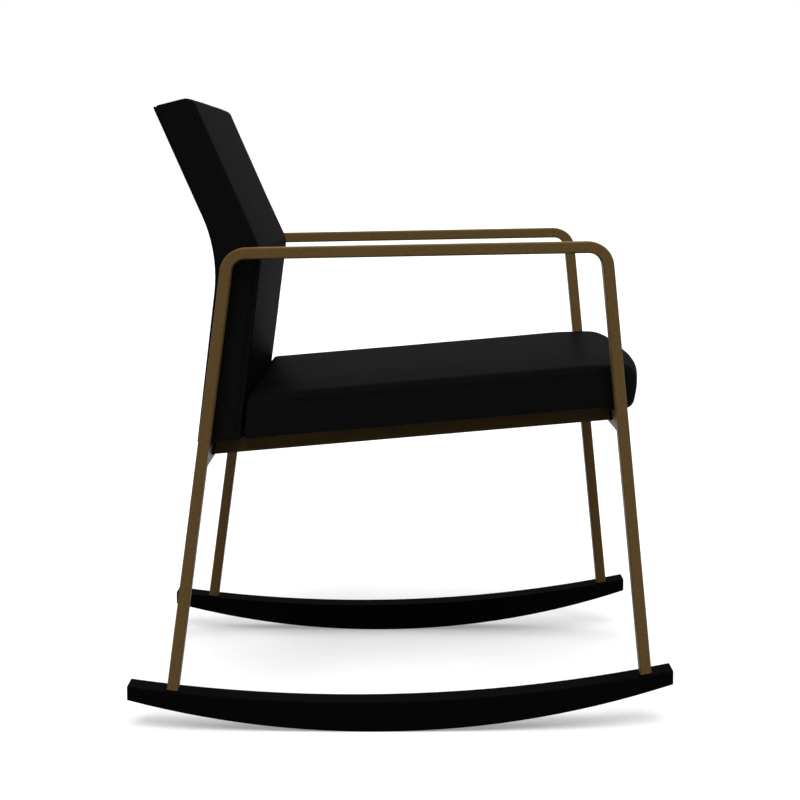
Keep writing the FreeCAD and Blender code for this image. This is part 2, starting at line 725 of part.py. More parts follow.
def make_rail_bolt(leg, side, sign):
    """Bolt through a cross rail into the side rail's plug."""
    head = off_leg(leg, f"{leg}_bolt_face", f"tube_width + {HEAD_HEIGHT_RATIO} * rail_bolt_size", "0")
    shank = off_leg(leg, f"{leg}_bolt_face", "tube_width", "0")
    return make_bolt(
        f"rail_bolt_{leg}_{side}", "rail_bolt_size", "tube_width + plug_reach",
        f"{sign}rail_offset", head, shank, BOLT_TURN[leg],
    )


# Places of the seat and back, between the side frames and the cross rails

derive("seat_width", "inside_width - 2 * side_gap")
derive("back_width", "inside_width - 2 * side_gap")
derive("lean_slope", "tan(back_lean)")
derive("rake_slope", "tan(back_rake)")
derive("top_slope", "tan(back_top_slope)")
derive("foot_slope", "tan(back_foot_slope)")
derive("core_rear_depth", "back_thick - rear_skin")
derive("core_front_depth", "core_rear_depth - core_thick")
derive(
    "back_start",
    "rear_cross_a_y + back_setback - core_front_depth / cos(back_lean) + lean_slope * rear_cross_a_z",
)
derive(
    "back_kink_height",
    "(seat_height + back_lift - seat_slope * (back_start + back_bottom * sin(back_lean))"
    " + back_bottom * cos(back_lean)) / (1 - seat_slope * lean_slope)",
)
derive("back_kink_depth", "back_start - lean_slope * back_kink_height")
derive("back_low_y", "back_kink_depth + back_bottom * sin(back_lean)")
derive("back_low_z", "back_kink_height - back_bottom * cos(back_lean)")
derive("back_high_y", "back_kink_depth + back_top * sin(back_rake)")
derive("back_high_z", "back_kink_height + back_top * cos(back_rake)")
derive("seat_rear", "back_low_y / cos(seat_rise) - seat_gap")
derive("seat_front", "seat_overhang - front_cross_b_y / cos(seat_rise)")

# Seat: board, lining and cushion, drawn flat in the seat plane and then turned with it

derive("board_front", "seat_front - seat_tuck_length - board_margin")
derive("board_rear", "seat_rear - board_margin")
derive("board_width", "seat_width - 2 * board_margin")
derive("lining_width", "2 * (rail_offset - rail_size / 2 - slip)")


def seat_box(name, width, front, rear, low, thick, across="0"):
    """Flat block in the seat plane, centred across the chair or about a place."""
    block = doc.addObject("Part::Box", name)
    block.setExpression("Length", qualify(width))
    block.setExpression("Width", qualify(f"({front}) + ({rear})"))
    block.setExpression("Height", qualify(thick))
    return put(block, f"{across} - ({width}) / 2", *seat_place(f"-({front})", low), "-seat_rise")


def make_seat_board():
    """Plywood board with the screws' pilot holes."""
    board = seat_box("seat_board_blank", "board_width", "board_front", "board_rear", "0", "board_thick")
    holes = []
    for side, sign in SIDES:
        for number, place in enumerate(SCREW_PLACES, start=1):
            name = f"seat_board_hole_{side}_{number}"
            offset = f"{sign}rail_offset"
            holes.append(seat_rod(name, "screw_size / 2", "screw_bite", offset, place, "0"))
    return cut("seat_board", board, holes)


def make_seat_screws():
    """Countersunk screws up through the side rails, one group."""
    screws = []
    for side, sign in SIDES:
        offset = f"{sign}rail_offset"
        for number, place in enumerate(SCREW_PLACES, start=1):
            tag = f"{side}_{number}"
            length = "rail_size + screw_bite"
            shank = seat_rod(f"screw_shank_{tag}", "screw_size / 2", length, offset, place, "-rail_size")
            head = seat_cone(f"screw_head_{tag}", "0", offset, place)
            screws.append(join(f"seat_screw_{tag}", [shank, head]))
    return group("seat_screws", screws)


def offset_lines(corners, inset):
    """An outline's corners moved inward, so that every side keeps its direction."""
    count = len(corners)
    moved = []
    for i in range(count):
        before, here, after = corners[i - 1], corners[i], corners[(i + 1) % count]
        ahead = Vector(here[0] - before[0], here[1] - before[1], 0).normalize()
        onward = Vector(after[0] - here[0], after[1] - here[1], 0).normalize()
        turn = onward.cross(ahead).z
        along = (onward - ahead) * (inset / turn)
        radius = here[2] - inset if turn > 0 else here[2] + inset
        moved.append((here[0] + along.x, here[1] + along.y, max(radius, LEAST_ROUND)))
    return moved


def loop_wire(corners, across):
    """Closed outline of lines and tangent arcs in an upright plane across the chair."""
    count = len(corners)
    fillets = []
    for i in range(count):
        fillets.append(corner_rounding(corners[i - 1], corners[i], corners[(i + 1) % count], corners[i][2]))
    edges = []
    for i in range(count):
        first, second, centre, turn = fillets[i]
        middle = Vector(corners[i][0], corners[i][1], 0) - centre
        crest = centre + middle.normalize() * corners[i][2]
        lifted = [Vector(across, p.x, p.y) for p in (first, crest, second)]
        edges.append(Part.Arc(*lifted).toShape())
        following = fillets[(i + 1) % count][0]
        edges.append(Part.LineSegment(lifted[2], Vector(across, following.x, following.y)).toShape())
    return Part.Wire(edges)


LEAST_ROUND = 0.8
RIM_TURNS = (0, 30, 60, 90)
INNER_SHARES = (0.75, 0.4, 0.0)


def crowned(section, width):
    """Body through sections across the chair, drawn in and rounded towards its two sides."""
    edge = amount("soft_edge")
    half = width / 2
    stations = []
    for turn in RIM_TURNS:
        angle = math.radians(turn)
        stations.append((half - edge * (1 - math.cos(angle)), edge * (1 - math.sin(angle))))
    stations += [(half * share, 0.0) for share in INNER_SHARES]
    mirrored = [(-across, inset) for across, inset in stations[:-1]]
    wires = []
    for across, inset in mirrored + stations[::-1]:
        share = across / half
        wires.append(loop_wire(offset_lines(section(1 - share * share), inset), across))
    return Part.makeLoft(wires, True, True)


def seat_section(crown):
    """Side view of the seat cushion with a share of its crown, in the seat plane's directions."""
    front = amount("seat_front")
    rear = amount("seat_rear")
    thick = amount("seat_thick")
    tuck = amount("seat_tuck")
    heel = front - amount("seat_tuck_length")
    nose = front + crown * amount("seat_nose")
    top = thick + crown * amount("seat_crown")
    flat = [
        (rear, 0.0, 4.0),
        (-heel + tuck * 3, 0.0, 20.0),
        (-heel, -tuck, 20.0),
        (-front + tuck, -tuck, 12.0),
        (-nose, thick * 0.45, 60.0),
        (-nose + tuck / 2, top, 20.0),
        (rear - amount("seat_rear_lean"), top, 10.0),
    ]
    turn = math.radians(amount("seat_rise"))
    level = amount("seat_height")
    corners = []
    for along, above, radius in flat:
        y = along * math.cos(turn) + above * math.sin(turn)
        z = level - along * math.sin(turn) + above * math.cos(turn)
        corners.append((y, z, radius))
    return corners


def soft_blank(name, shape):
    """A worked out soft form as an object of the document."""
    item = doc.addObject("Part::Feature", name)
    item.Shape = shape
    return item


def make_seat_cushion():
    """Crowned cushion with a bullnose front, hollowed below for the board."""
    blank = soft_blank("seat_cushion_blank", crowned(seat_section, amount("seat_width")))
    room = seat_box(
        "seat_cushion_room", "board_width + 2 * slip", "board_front + slip", "board_rear + slip",
        "-board_thick", "2 * board_thick + slip",
    )
    tools = [room]
    for side, sign in SIDES:
        tools.append(seat_box(
            f"seat_cushion_rail_room_{side}", "rail_size + 2 * plug_lip + 2 * slip", "seat_front", "seat_rear",
            "-rail_size", "rail_size + slip", f"{sign}rail_offset",
        ))
    return cut("seat_cushion", blank, tools)


# Back: layers at a distance behind the front face, each bent at the same kink

def back_layer(name, behind, rise, fall):
    """Three points of a layer: its foot, its kink and its head."""
    crossing(
        f"{name}_foot", f"back_kink_depth + ({behind}) / cos(back_lean) + lean_slope * back_kink_height",
        "-lean_slope", f"back_low_z + foot_slope * back_low_y + ({rise}) / cos(back_foot_slope)", "foot_slope",
    )
    derive(
        f"{name}_kink_z",
        f"back_kink_height - ({behind}) * (1 / cos(back_rake) - 1 / cos(back_lean))"
        " / (lean_slope + rake_slope)",
    )
    derive(
        f"{name}_kink_y",
        f"back_kink_depth + ({behind}) / cos(back_lean) + lean_slope * (back_kink_height - {name}_kink_z)",
    )
    crossing(
        f"{name}_head", f"back_kink_depth + ({behind}) / cos(back_rake) - rake_slope * back_kink_height",
        "rake_slope", f"back_high_z + top_slope * back_high_y - ({fall}) / cos(back_top_slope)", "top_slope",
    )


back_layer("skin_rear", "back_thick", "0", "0")
back_layer("skin_front", "core_rear_depth", "0", "0")
back_layer("pad_rear", "core_rear_depth - slip", "0", "0")
back_layer("core_rear", "core_rear_depth", "slip", "core_margin")
back_layer("core_front", "core_front_depth", "slip", "core_margin")
back_layer("room_rear", "back_thick + rear_skin", "-core_margin", "core_margin - slip")
back_layer("room_front", "core_front_depth - slip", "-core_margin", "core_margin - slip")
derive("skin_rear_bend", "back_kink_rear")
derive("skin_front_bend", "back_kink_rear + rear_skin")
derive("core_rear_bend", "back_kink_rear + rear_skin")
derive("core_front_bend", "core_rear_bend + core_thick")
derive("room_rear_bend", "back_kink_rear")
derive("room_front_bend", "core_front_bend + slip")
derive("core_width", "back_width - 2 * core_margin")


def band(front, rear):
    """Closed outline between two layers."""
    return [
        f"{front}_foot", (f"{front}_kink", f"{front}_bend"), f"{front}_head",
        f"{rear}_head", (f"{rear}_kink", f"{rear}_bend"), f"{rear}_foot",
    ]


def back_section(crown):
    """Side view of the back cushion with a share of its crown."""
    rise = -crown * amount("back_crown")
    lean = math.radians(amount("back_lean"))
    rake = math.radians(amount("back_rake"))
    foot = (amount("back_low_y"), amount("back_low_z"))
    kink = (amount("back_kink_depth") + rise, amount("back_kink_height"))
    head = (
        amount("back_high_y") + rise * math.cos(rake),
        amount("back_high_z") - rise * math.sin(rake),
    )
    return [
        (*foot, 6.0),
        (*kink, amount("back_kink_front")),
        (*head, 10.0),
        (*spot("pad_rear_head"), 3.0),
        (*spot("pad_rear_kink"), amount("skin_front_bend")),
        (*spot("pad_rear_foot"), 3.0),
    ]


# Straps from the rear cross rail up to the core, and the studs at the rear legs

derive("strap_low_level", "rear_cross_d_z + strap_thick")
derive("strap_turn_level", "rear_cross_a_z")
derive("strap_joggle_level", "core_front_foot_z + 2 * strap_thick")
derive("strap_high_level", "rear_cross_a_z + strap_rise")
for name, offset in (("rear", "0"), ("front", "strap_thick")):
    for level in ("low", "turn"):
        point(
            f"strap_{name}_{level}",
            f"rear_inner - ({offset}) / cos(rear_rake) - rear_slope * strap_{level}_level",
            f"strap_{level}_level",
        )
    for level in ("joggle", "high"):
        point(
            f"strap_{name}_{level}",
            f"back_kink_depth + (core_front_depth - ({offset})) / cos(back_lean)"
            f" + lean_slope * (back_kink_height - strap_{level}_level)",
            f"strap_{level}_level",
        )
derive("strap_low_bolt_z", "(rear_cross_a_z + rear_cross_d_z) / 2")
derive("strap_low_bolt_y", "rear_inner - rear_slope * strap_low_bolt_z")
derive("strap_high_bolt_z", "strap_high_level - 3 * strap_thick")
derive(
    "strap_high_bolt_y",
    "back_kink_depth + core_front_depth / cos(back_lean)"
    " + lean_slope * (back_kink_height - strap_high_bolt_z)",
)
derive("strap_low_turn", "90 - rear_rake")
derive("strap_high_turn", "90 - back_lean")
STRAP_LEAN = {"strap_low": "rear_rake", "strap_high": "back_lean"}
STRAP_BITE = {"strap_low": "2 * tube_wall", "strap_high": "core_thick - strap_thick"}


def strap_place(bolt, ahead):
    """Place ahead of the strap's rear face at one of its bolts."""
    lean = STRAP_LEAN[bolt]
    return (
        f"{bolt}_bolt_y - ({ahead}) * cos({lean})",
        f"{bolt}_bolt_z - ({ahead}) * sin({lean})",
    )


def strap_hole(name, bolt, across, play):
    """Round passage square through the strap and on to the rear."""
    start = strap_place(bolt, "3 * strap_thick")
    length = f"3 * strap_thick + {STRAP_BITE[bolt]}"
    return rod(name, f"strap_bolt / 2 + {play}", length, across, *start, f"-{bolt}_turn")


def make_strap(side, sign):
    """Flat steel, joggled from the cross rail's face to the core's face."""
    corners = [f"strap_rear_{level}" for level in ("low", "turn", "joggle", "high")]
    corners += [f"strap_front_{level}" for level in ("high", "joggle", "turn", "low")]
    body = slab(f"back_strap_blank_{side}", corners, "strap_width", f"{sign}strap_offset")
    holes = []
    for bolt in ("strap_low", "strap_high"):
        holes.append(strap_hole(f"back_strap_hole_{side}_{bolt}", bolt, f"{sign}strap_offset", "slip"))
    return cut(f"back_strap_{side}", body, holes)


def make_strap_bolts():
    """Bolts from the straps into the cross rail and the core, one group."""
    bolts = []
    for side, sign in SIDES:
        for bolt in ("strap_low", "strap_high"):
            head = strap_place(bolt, f"strap_thick + {HEAD_HEIGHT_RATIO} * strap_bolt")
            shank = strap_place(bolt, "strap_thick")
            bolts.append(make_bolt(
                f"{bolt}_bolt_{side}", "strap_bolt", f"strap_thick + {STRAP_BITE[bolt]}",
                f"{sign}strap_offset", head, shank, f"-{bolt}_turn",
            ))
    return group("strap_bolts", bolts)


derive(
    "spacer_height",
    "min(arm_height; back_kink_height + bend_radius / 2) - spacer_drop",
)
derive("stud_y", "rear_mid - rear_slope * spacer_height")
derive("spacer_length", "side_gap - slip")
derive("stud_length", "inside_width / 2 - core_width / 2 + stud_bite")


def cross_rod(name, radius, length, side, sign):
    """A cylinder from a rear leg's inner face towards the chair's centre line."""
    roll = "90" if side == "right" else "-90"
    return rod(name, radius, length, f"{sign}inside_width / 2", "stud_y", "spacer_height", roll=roll)


def make_spacer(side, sign):
    """Ring between a rear leg and the back."""
    ring = cross_rod(f"spacer_blank_{side}", "spacer_size / 2", "spacer_length", side, sign)
    bore = cross_rod(f"spacer_bore_{side}", "stud_size / 2 + slip", "2 * spacer_length", side, sign)
    return cut(f"back_spacer_{side}", ring, [bore])


def make_stud(side, sign):
    """Stud welded to the leg, through the ring and into the core's edge."""
    stud = cross_rod(f"back_stud_{side}", "stud_size / 2", "stud_length", side, sign)
    stud.Label = f"back_stud_{side}"
    return stud


def stud_rooms(name, play):
    """Passages for both studs."""
    rooms = []
    for side, sign in SIDES:
        rooms.append(cross_rod(f"{name}_{side}", f"stud_size / 2 + {play}", "stud_length + slip", side, sign))
    return rooms


def make_core():
    """Bent plywood core."""
    body = slab("back_core_blank", band("core_front", "core_rear"), "core_width", None)
    holes = stud_rooms("back_core_stud", "0")
    for side, sign in SIDES:
        holes.append(strap_hole(f"back_core_hole_{side}", "strap_high", f"{sign}strap_offset", "0"))
    return cut("back_core", body, holes)


def make_back_cushion():
    """Crowned front cushion that wraps the core's edges."""
    blank = soft_blank("back_cushion_blank", crowned(back_section, amount("back_width")))
    room = slab("back_cushion_room", band("room_front", "room_rear"), "core_width + 2 * slip", None)
    tools = [room] + stud_rooms("back_cushion_stud", "slip")
    for side, sign in SIDES:
        tools.append(slab(
            f"back_cushion_strap_room_{side}", STRAP_ROOM, "strap_width + 2 * slip", f"{sign}strap_offset",
        ))
    return cut("back_cushion", blank, tools)


for name, behind in (("rear", "core_front_depth"), ("front", "core_front_depth - 3 * strap_thick")):
    for level, height in (("low", "back_low_z - core_margin"), ("high", "strap_high_level + strap_thick")):
        point(
            f"strap_room_{name}_{level}",
            f"back_kink_depth + ({behind}) / cos(back_lean) + lean_slope * (back_kink_height - ({height}))",
            height,
        )
STRAP_ROOM = [
    "strap_room_rear_low", "strap_room_rear_high", "strap_room_front_high", "strap_room_front_low",
]


def make_rear_panel():
    """Thin padded panel that closes the back over the core."""
    body = slab("back_rear_panel", band("skin_front", "skin_rear"), "back_width - soft_edge", None)
    return body


# Build every sub-part

for side, sign in SIDES:
    keep(make_side_frame(side, sign))
    keep(make_runner(side, sign))
    keep(make_side_rail(side, sign))
    for leg in ("front", "rear"):
        make_leg_fixing(leg, side, sign)
        keep(make_plug(leg, side, sign))
        keep(make_rail_bolt(leg, side, sign))
    keep(make_strap(side, sign))
    keep(make_spacer(side, sign))
    keep(make_stud(side, sign))
for leg in ("front", "rear"):
    keep(make_cross_rail(leg))
keep(make_seat_board())
lining = seat_box("seat_lining", "lining_width", "board_front", "board_rear", "-lining_thick", "lining_thick")
lining.Label = "seat_lining"
keep(lining)
keep(make_seat_screws())
keep(make_seat_cushion())
keep(make_core())
keep(make_back_cushion())
keep(make_rear_panel())
keep(make_strap_bolts())

doc.recompute()

troubles = [item.Label for item in doc.Objects if {"Invalid", "Error"} & set(item.State)]
for item in finished:
    if item.Shape.isNull() or not item.Shape.isValid():
        troubles.append(item.Label)
if troubles:
    raise RuntimeError("failed: " + ", ".join(troubles))

os.makedirs("parts", exist_ok=True)
for item in finished:
    item.Shape.exportStep(f"parts/{item.Label}.step")
    print(f"{item.Label}: {len(item.Shape.Solids)} solid, {item.Shape.Volume / 1000:.1f} cm3")
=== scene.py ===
import logging
import math
from dataclasses import dataclass, replace
from enum import Enum

import bpy
import numpy as np
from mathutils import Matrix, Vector, noise


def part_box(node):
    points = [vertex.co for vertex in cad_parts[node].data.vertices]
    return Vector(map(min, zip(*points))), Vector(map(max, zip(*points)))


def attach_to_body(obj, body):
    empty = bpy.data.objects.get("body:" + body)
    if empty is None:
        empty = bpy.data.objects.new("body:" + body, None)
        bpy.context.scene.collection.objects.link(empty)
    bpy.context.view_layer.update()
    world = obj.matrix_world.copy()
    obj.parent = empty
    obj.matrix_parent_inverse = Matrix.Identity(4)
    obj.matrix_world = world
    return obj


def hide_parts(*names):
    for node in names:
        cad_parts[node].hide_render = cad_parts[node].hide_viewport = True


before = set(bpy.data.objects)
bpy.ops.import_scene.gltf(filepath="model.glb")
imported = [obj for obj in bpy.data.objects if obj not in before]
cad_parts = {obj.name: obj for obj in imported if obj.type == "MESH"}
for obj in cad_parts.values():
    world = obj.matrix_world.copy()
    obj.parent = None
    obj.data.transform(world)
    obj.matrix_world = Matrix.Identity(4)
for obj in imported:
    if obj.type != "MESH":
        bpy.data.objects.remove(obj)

# Rocking chair with bent tube arms, crescent runners and an upholstered seat and back.
# Metres throughout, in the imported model's frame: +Z up, the chair faces -Y, the sitter's right is at -X.

LOG = logging.getLogger("rocking_chair")
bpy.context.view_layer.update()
BODY = "root"

Point = tuple[float, float]
Span = tuple[float, float]
Triple = tuple[float, float, float]
Colour = Triple
Faces = list[tuple[int, ...]]
Rings = list[np.ndarray]
Socket = bpy.types.NodeSocket

EVEN: Triple = (1, 1, 1)
WHITE = (1, 1, 1, 1)
Y_AXIS, Z_AXIS = 1, 2
NOISE_LOW, NOISE_HIGH = 0.3, 0.7  # nearly all of a noise texture lies between these
BEND_WEIGHT = 0.5  # weight of turning against length where an outline's points are spaced
TINY = 1e-9
SEAT_RISE = math.radians(5.0)


class Side(Enum):
    """The two sides of the chair, with the sign of X there."""

    RIGHT = -1
    LEFT = 1

    @property
    def word(self) -> str:
        """The side's name in node names."""
        return self.name.lower()


class Leg(Enum):
    """The two legs of a side frame."""

    FRONT = "front"
    REAR = "rear"


class Tree:
    """Short ways to add and join nodes in a node tree.

    Args:
        tree: The node tree.
    """

    def __init__(self, tree: bpy.types.NodeTree) -> None:
        """Keep the tree."""
        self.tree = tree

    def add(self, kind: str, **values: object) -> bpy.types.Node:
        """Add a node and set its sockets or its properties by name.

        Args:
            kind: The node's type.
            values: Socket values, with spaces as underscores, or property values.

        Returns:
            The new node.
        """
        node = self.tree.nodes.new(kind)
        for name, value in values.items():
            socket = node.inputs.get(name.replace("_", " "))
            if socket is None:
                setattr(node, name, value)
            else:
                socket.default_value = value
        return node

    def join(self, source: Socket, target: Socket) -> None:
        """Link two sockets."""
        self.tree.links.new(source, target)

    def mixed(self, share: Socket, first: Socket, second: Socket) -> Socket:
        """Mix two shaders by the share of the second one."""
        mix = self.add("ShaderNodeMixShader")
        for source, target in zip((share, first, second), mix.inputs):
            self.join(source, target)
        return mix.outputs[0]

    def backdrop_share(self) -> Socket:
        """One where the camera, a reflection or a see-through part looks, and none for other light.

        Returns:
            The socket that gives the share.
        """
        path = self.add("ShaderNodeLightPath")
        last = path.outputs["Is Camera Ray"]
        for word in ("Is Glossy Ray", "Is Transmission Ray"):
            both = self.add("ShaderNodeMath", operation="MAXIMUM")
            self.join(last, both.inputs[0])
            self.join(path.outputs[word], both.inputs[1])
            last = both.outputs[0]
        return last


class Graph(Tree):
    """A new material's node tree, with patterns and its shader.

    Args:
        name: The material's name.
    """

    def __init__(self, name: str) -> None:
        """Make the material and keep its shader."""
        self.material = bpy.data.materials.new(name)
        self.material.use_nodes = True
        super().__init__(self.material.node_tree)
        self.shader = self.tree.nodes["Principled BSDF"]
        self.output = self.tree.nodes["Material Output"]

    def settle(self, **values: float) -> None:
        """Set constants on the shader's sockets, named with underscores for spaces."""
        for name, value in values.items():
            self.shader.inputs[name.replace("_", " ")].default_value = value

    def place(self, scale: Triple = EVEN) -> Socket:
        """Object coordinates, stretched along each axis."""
        source = self.add("ShaderNodeTexCoord")
        mapping = self.add("ShaderNodeMapping", Scale=scale)
        self.join(source.outputs["Object"], mapping.inputs["Vector"])
        return mapping.outputs["Vector"]

    def speckle(self, waves: float, detail: float, along: Triple = EVEN) -> Socket:
        """Noise between 0 and 1.

        Args:
            waves: Waves in a metre.
            detail: Finer waves added.
            along: Stretch along each axis.

        Returns:
            The socket that gives the noise.
        """
        texture = self.add("ShaderNodeTexNoise", Scale=waves, Detail=detail)
        self.join(self.place(along), texture.inputs["Vector"])
        return texture.outputs["Fac"]

    def tint(self, source: Socket, dark: Colour, light: Colour) -> None:
        """Colour the shader between two colours.

        Args:
            source: The value that chooses.
            dark: The colour at low values.
            light: The colour at high values.
        """
        ramp = self.add("ShaderNodeValToRGB")
        stops = ((NOISE_LOW, dark), (NOISE_HIGH, light))
        for element, (position, colour) in zip(ramp.color_ramp.elements, stops):
            element.position = position
            element.color = (*colour, 1)
        self.join(source, ramp.inputs["Fac"])
        self.join(ramp.outputs["Color"], self.shader.inputs["Base Color"])

    def roughen(self, source: Socket, low: float, high: float) -> None:
        """Vary the shader's roughness.

        Args:
            source: The value that chooses.
            low: Roughness at low values.
            high: Roughness at high values.
        """
        node = self.add("ShaderNodeMapRange", From_Min=NOISE_LOW, From_Max=NOISE_HIGH, To_Min=low, To_Max=high)
        self.join(source, node.inputs["Value"])
        self.join(node.outputs["Result"], self.shader.inputs["Roughness"])

    def relief(self, *layers: tuple[Socket, float]) -> None:
        """Raise the surface by one or more layers of bumps.

        Args:
            layers: Each layer's height value and its depth in metres.
        """
        last = None
        for source, depth in layers:
            bump = self.add("ShaderNodeBump", Distance=depth, Strength=1.0)
            self.join(source, bump.inputs["Height"])
            if last is not None:
                self.join(last.outputs["Normal"], bump.inputs["Normal"])
            last = bump
        self.join(last.outputs["Normal"], self.shader.inputs["Normal"])


def srgb(red: int, green: int, blue: int) -> Colour:
    """A screen colour as the linear colour that a shader takes.

    Args:
        red: Red from 0 to 255.
        green: Green from 0 to 255.
        blue: Blue from 0 to 255.

    Returns:
        The linear colour.
    """
    shares = [value / 255 for value in (red, green, blue)]
    return tuple(s / 12.92 if s <= 0.04045 else ((s + 0.055) / 1.055) ** 2.4 for s in shares)


@dataclass(frozen=True)
class Finish:
    """A surface finish, made as a material when it is first used."""

    name: str

    def shade(self, graph: Graph) -> None:
        """Set the shader up. Each finish has its own."""
        raise NotImplementedError

    def material(self) -> bpy.types.Material:
        """The finish's material."""
        made = bpy.data.materials.get(self.name)
        if made is None:
            graph = Graph(self.name)
            self.shade(graph)
            made = graph.material
        return made

    def dress(self, piece: bpy.types.Object) -> None:
        """Put this finish in every material slot of a piece.

        Args:
            piece: A mesh object.
        """
        if not piece.material_slots:
            piece.data.materials.append(None)
        for slot in piece.material_slots:
            slot.material = self.material()


@dataclass(frozen=True)
class PowderCoat(Finish):
    """Satin bronze powder coat on steel, with a fine orange peel."""

    dark: Colour = srgb(88, 69, 40)
    light: Colour = srgb(98, 77, 46)

    def shade(self, graph: Graph) -> None:
        """Fine peel, faint speckle."""
        peel = graph.speckle(waves=900, detail=2)
        graph.tint(graph.speckle(waves=260, detail=3), self.dark, self.light)
        graph.roughen(graph.speckle(waves=60, detail=2), low=0.42, high=0.54)
        graph.settle(Specular_IOR_Level=0.06)
        graph.relief((peel, 0.00005))


@dataclass(frozen=True)
class BlackLacquer(Finish):
    """Black lacquer on solid wood, with a trace of the grain."""

    dark: Colour = srgb(2, 2, 2)
    light: Colour = srgb(6, 6, 6)
    grain_stretch: Triple = (1.0, 0.045, 1.0)
    pore_stretch: Triple = (1.0, 0.02, 1.0)

    def shade(self, graph: Graph) -> None:
        """Grain along the runner, under a thin satin lacquer."""
        grain = graph.speckle(waves=520, detail=4, along=self.grain_stretch)
        pores = graph.speckle(waves=1500, detail=2, along=self.pore_stretch)
        graph.tint(grain, self.dark, self.light)
        graph.roughen(grain, low=0.36, high=0.48)
        graph.settle(Specular_IOR_Level=0.0, Coat_Weight=0.02, Coat_Roughness=0.3)
        graph.relief((grain, 0.0001), (pores, 0.00005))


@dataclass(frozen=True)
class CoatedCloth(Finish):
    """Black coated upholstery cloth with a fine pebble."""

    dark: Colour = srgb(6, 6, 6)
    light: Colour = srgb(9, 9, 9)
    pebbles: float = 820.0

    def shade(self, graph: Graph) -> None:
        """Pebble from small cells, with broad soft unevenness in the gloss."""
        cells = graph.add("ShaderNodeTexVoronoi", Scale=self.pebbles, feature="SMOOTH_F1")
        graph.join(graph.place(), cells.inputs["Vector"])
        creases = graph.speckle(waves=1400, detail=2)
        broad = graph.speckle(waves=9, detail=3)
        graph.tint(graph.speckle(waves=34, detail=4), self.dark, self.light)
        graph.roughen(broad, low=0.50, high=0.60)
        graph.settle(Specular_IOR_Level=0.0, Coat_Weight=0.05, Coat_Roughness=0.38)
        graph.relief((broad, 0.0003), (creases, 0.00003), (cells.outputs["Distance"], 0.00008))


@dataclass(frozen=True)
class MouldedPlastic(Finish):
    """Matt black moulded plastic."""

    dark: Colour = srgb(8, 8, 8)
    light: Colour = srgb(13, 13, 13)

    def shade(self, graph: Graph) -> None:
        """Fine spark eroded texture."""
        grit = graph.speckle(waves=1800, detail=3)
        graph.tint(grit, self.dark, self.light)
        graph.settle(Roughness=0.6, Specular_IOR_Level=0.05)
        graph.relief((grit, 0.00005))


@dataclass(frozen=True)
class ZincSteel(Finish):
    """Zinc plated bolt steel."""

    dark: Colour = srgb(150, 150, 152)
    light: Colour = srgb(182, 182, 180)

    def shade(self, graph: Graph) -> None:
        """Metal with cloudy gloss."""
        cloud = graph.speckle(waves=400, detail=3)
        graph.tint(cloud, self.dark, self.light)
        graph.roughen(cloud, low=0.28, high=0.42)
        graph.settle(Metallic=1.0)
        graph.relief((cloud, 0.00003))


@dataclass(frozen=True)
class BirchPly(Finish):
    """Raw birch plywood."""

    dark: Colour = srgb(168, 136, 96)
    light: Colour = srgb(205, 176, 134)
    grain_stretch: Triple = (1.0, 0.06, 1.0)

    def shade(self, graph: Graph) -> None:
        """Long grain."""
        grain = graph.speckle(waves=300, detail=4, along=self.grain_stretch)
        graph.tint(grain, self.dark, self.light)
        graph.settle(Roughness=0.7)
        graph.relief((grain, 0.0001))


@dataclass(frozen=True)
class DustCloth(Finish):
    """Thin black non-woven cloth under the seat."""

    dark: Colour = srgb(22, 22, 23)
    light: Colour = srgb(33, 33, 34)
    threads: float = 260.0
    thread_depth: float = 0.0001

    def shade(self, graph: Graph) -> None:
        """Fine threads that cross."""
        place = graph.place()
        layers = []
        for direction in ("X", "Y"):
            wave = graph.add("ShaderNodeTexWave", Scale=self.threads, bands_direction=direction)
            graph.join(place, wave.inputs["Vector"])
            layers.append((wave.outputs["Fac"], self.thread_depth))
        graph.tint(graph.speckle(waves=120, detail=4), self.dark, self.light)
        graph.settle(Roughness=0.9, Specular_IOR_Level=0.1)
        graph.relief(*layers)


BRONZE = PowderCoat("bronze_powder_coat")
LACQUER = BlackLacquer("black_lacquer")
CLOTH = CoatedCloth("black_coated_cloth")
PLASTIC = MouldedPlastic("matt_black_plastic")
ZINC = ZincSteel("zinc_steel")
PLY = BirchPly("birch_plywood")
LINING = DustCloth("black_dust_cloth")


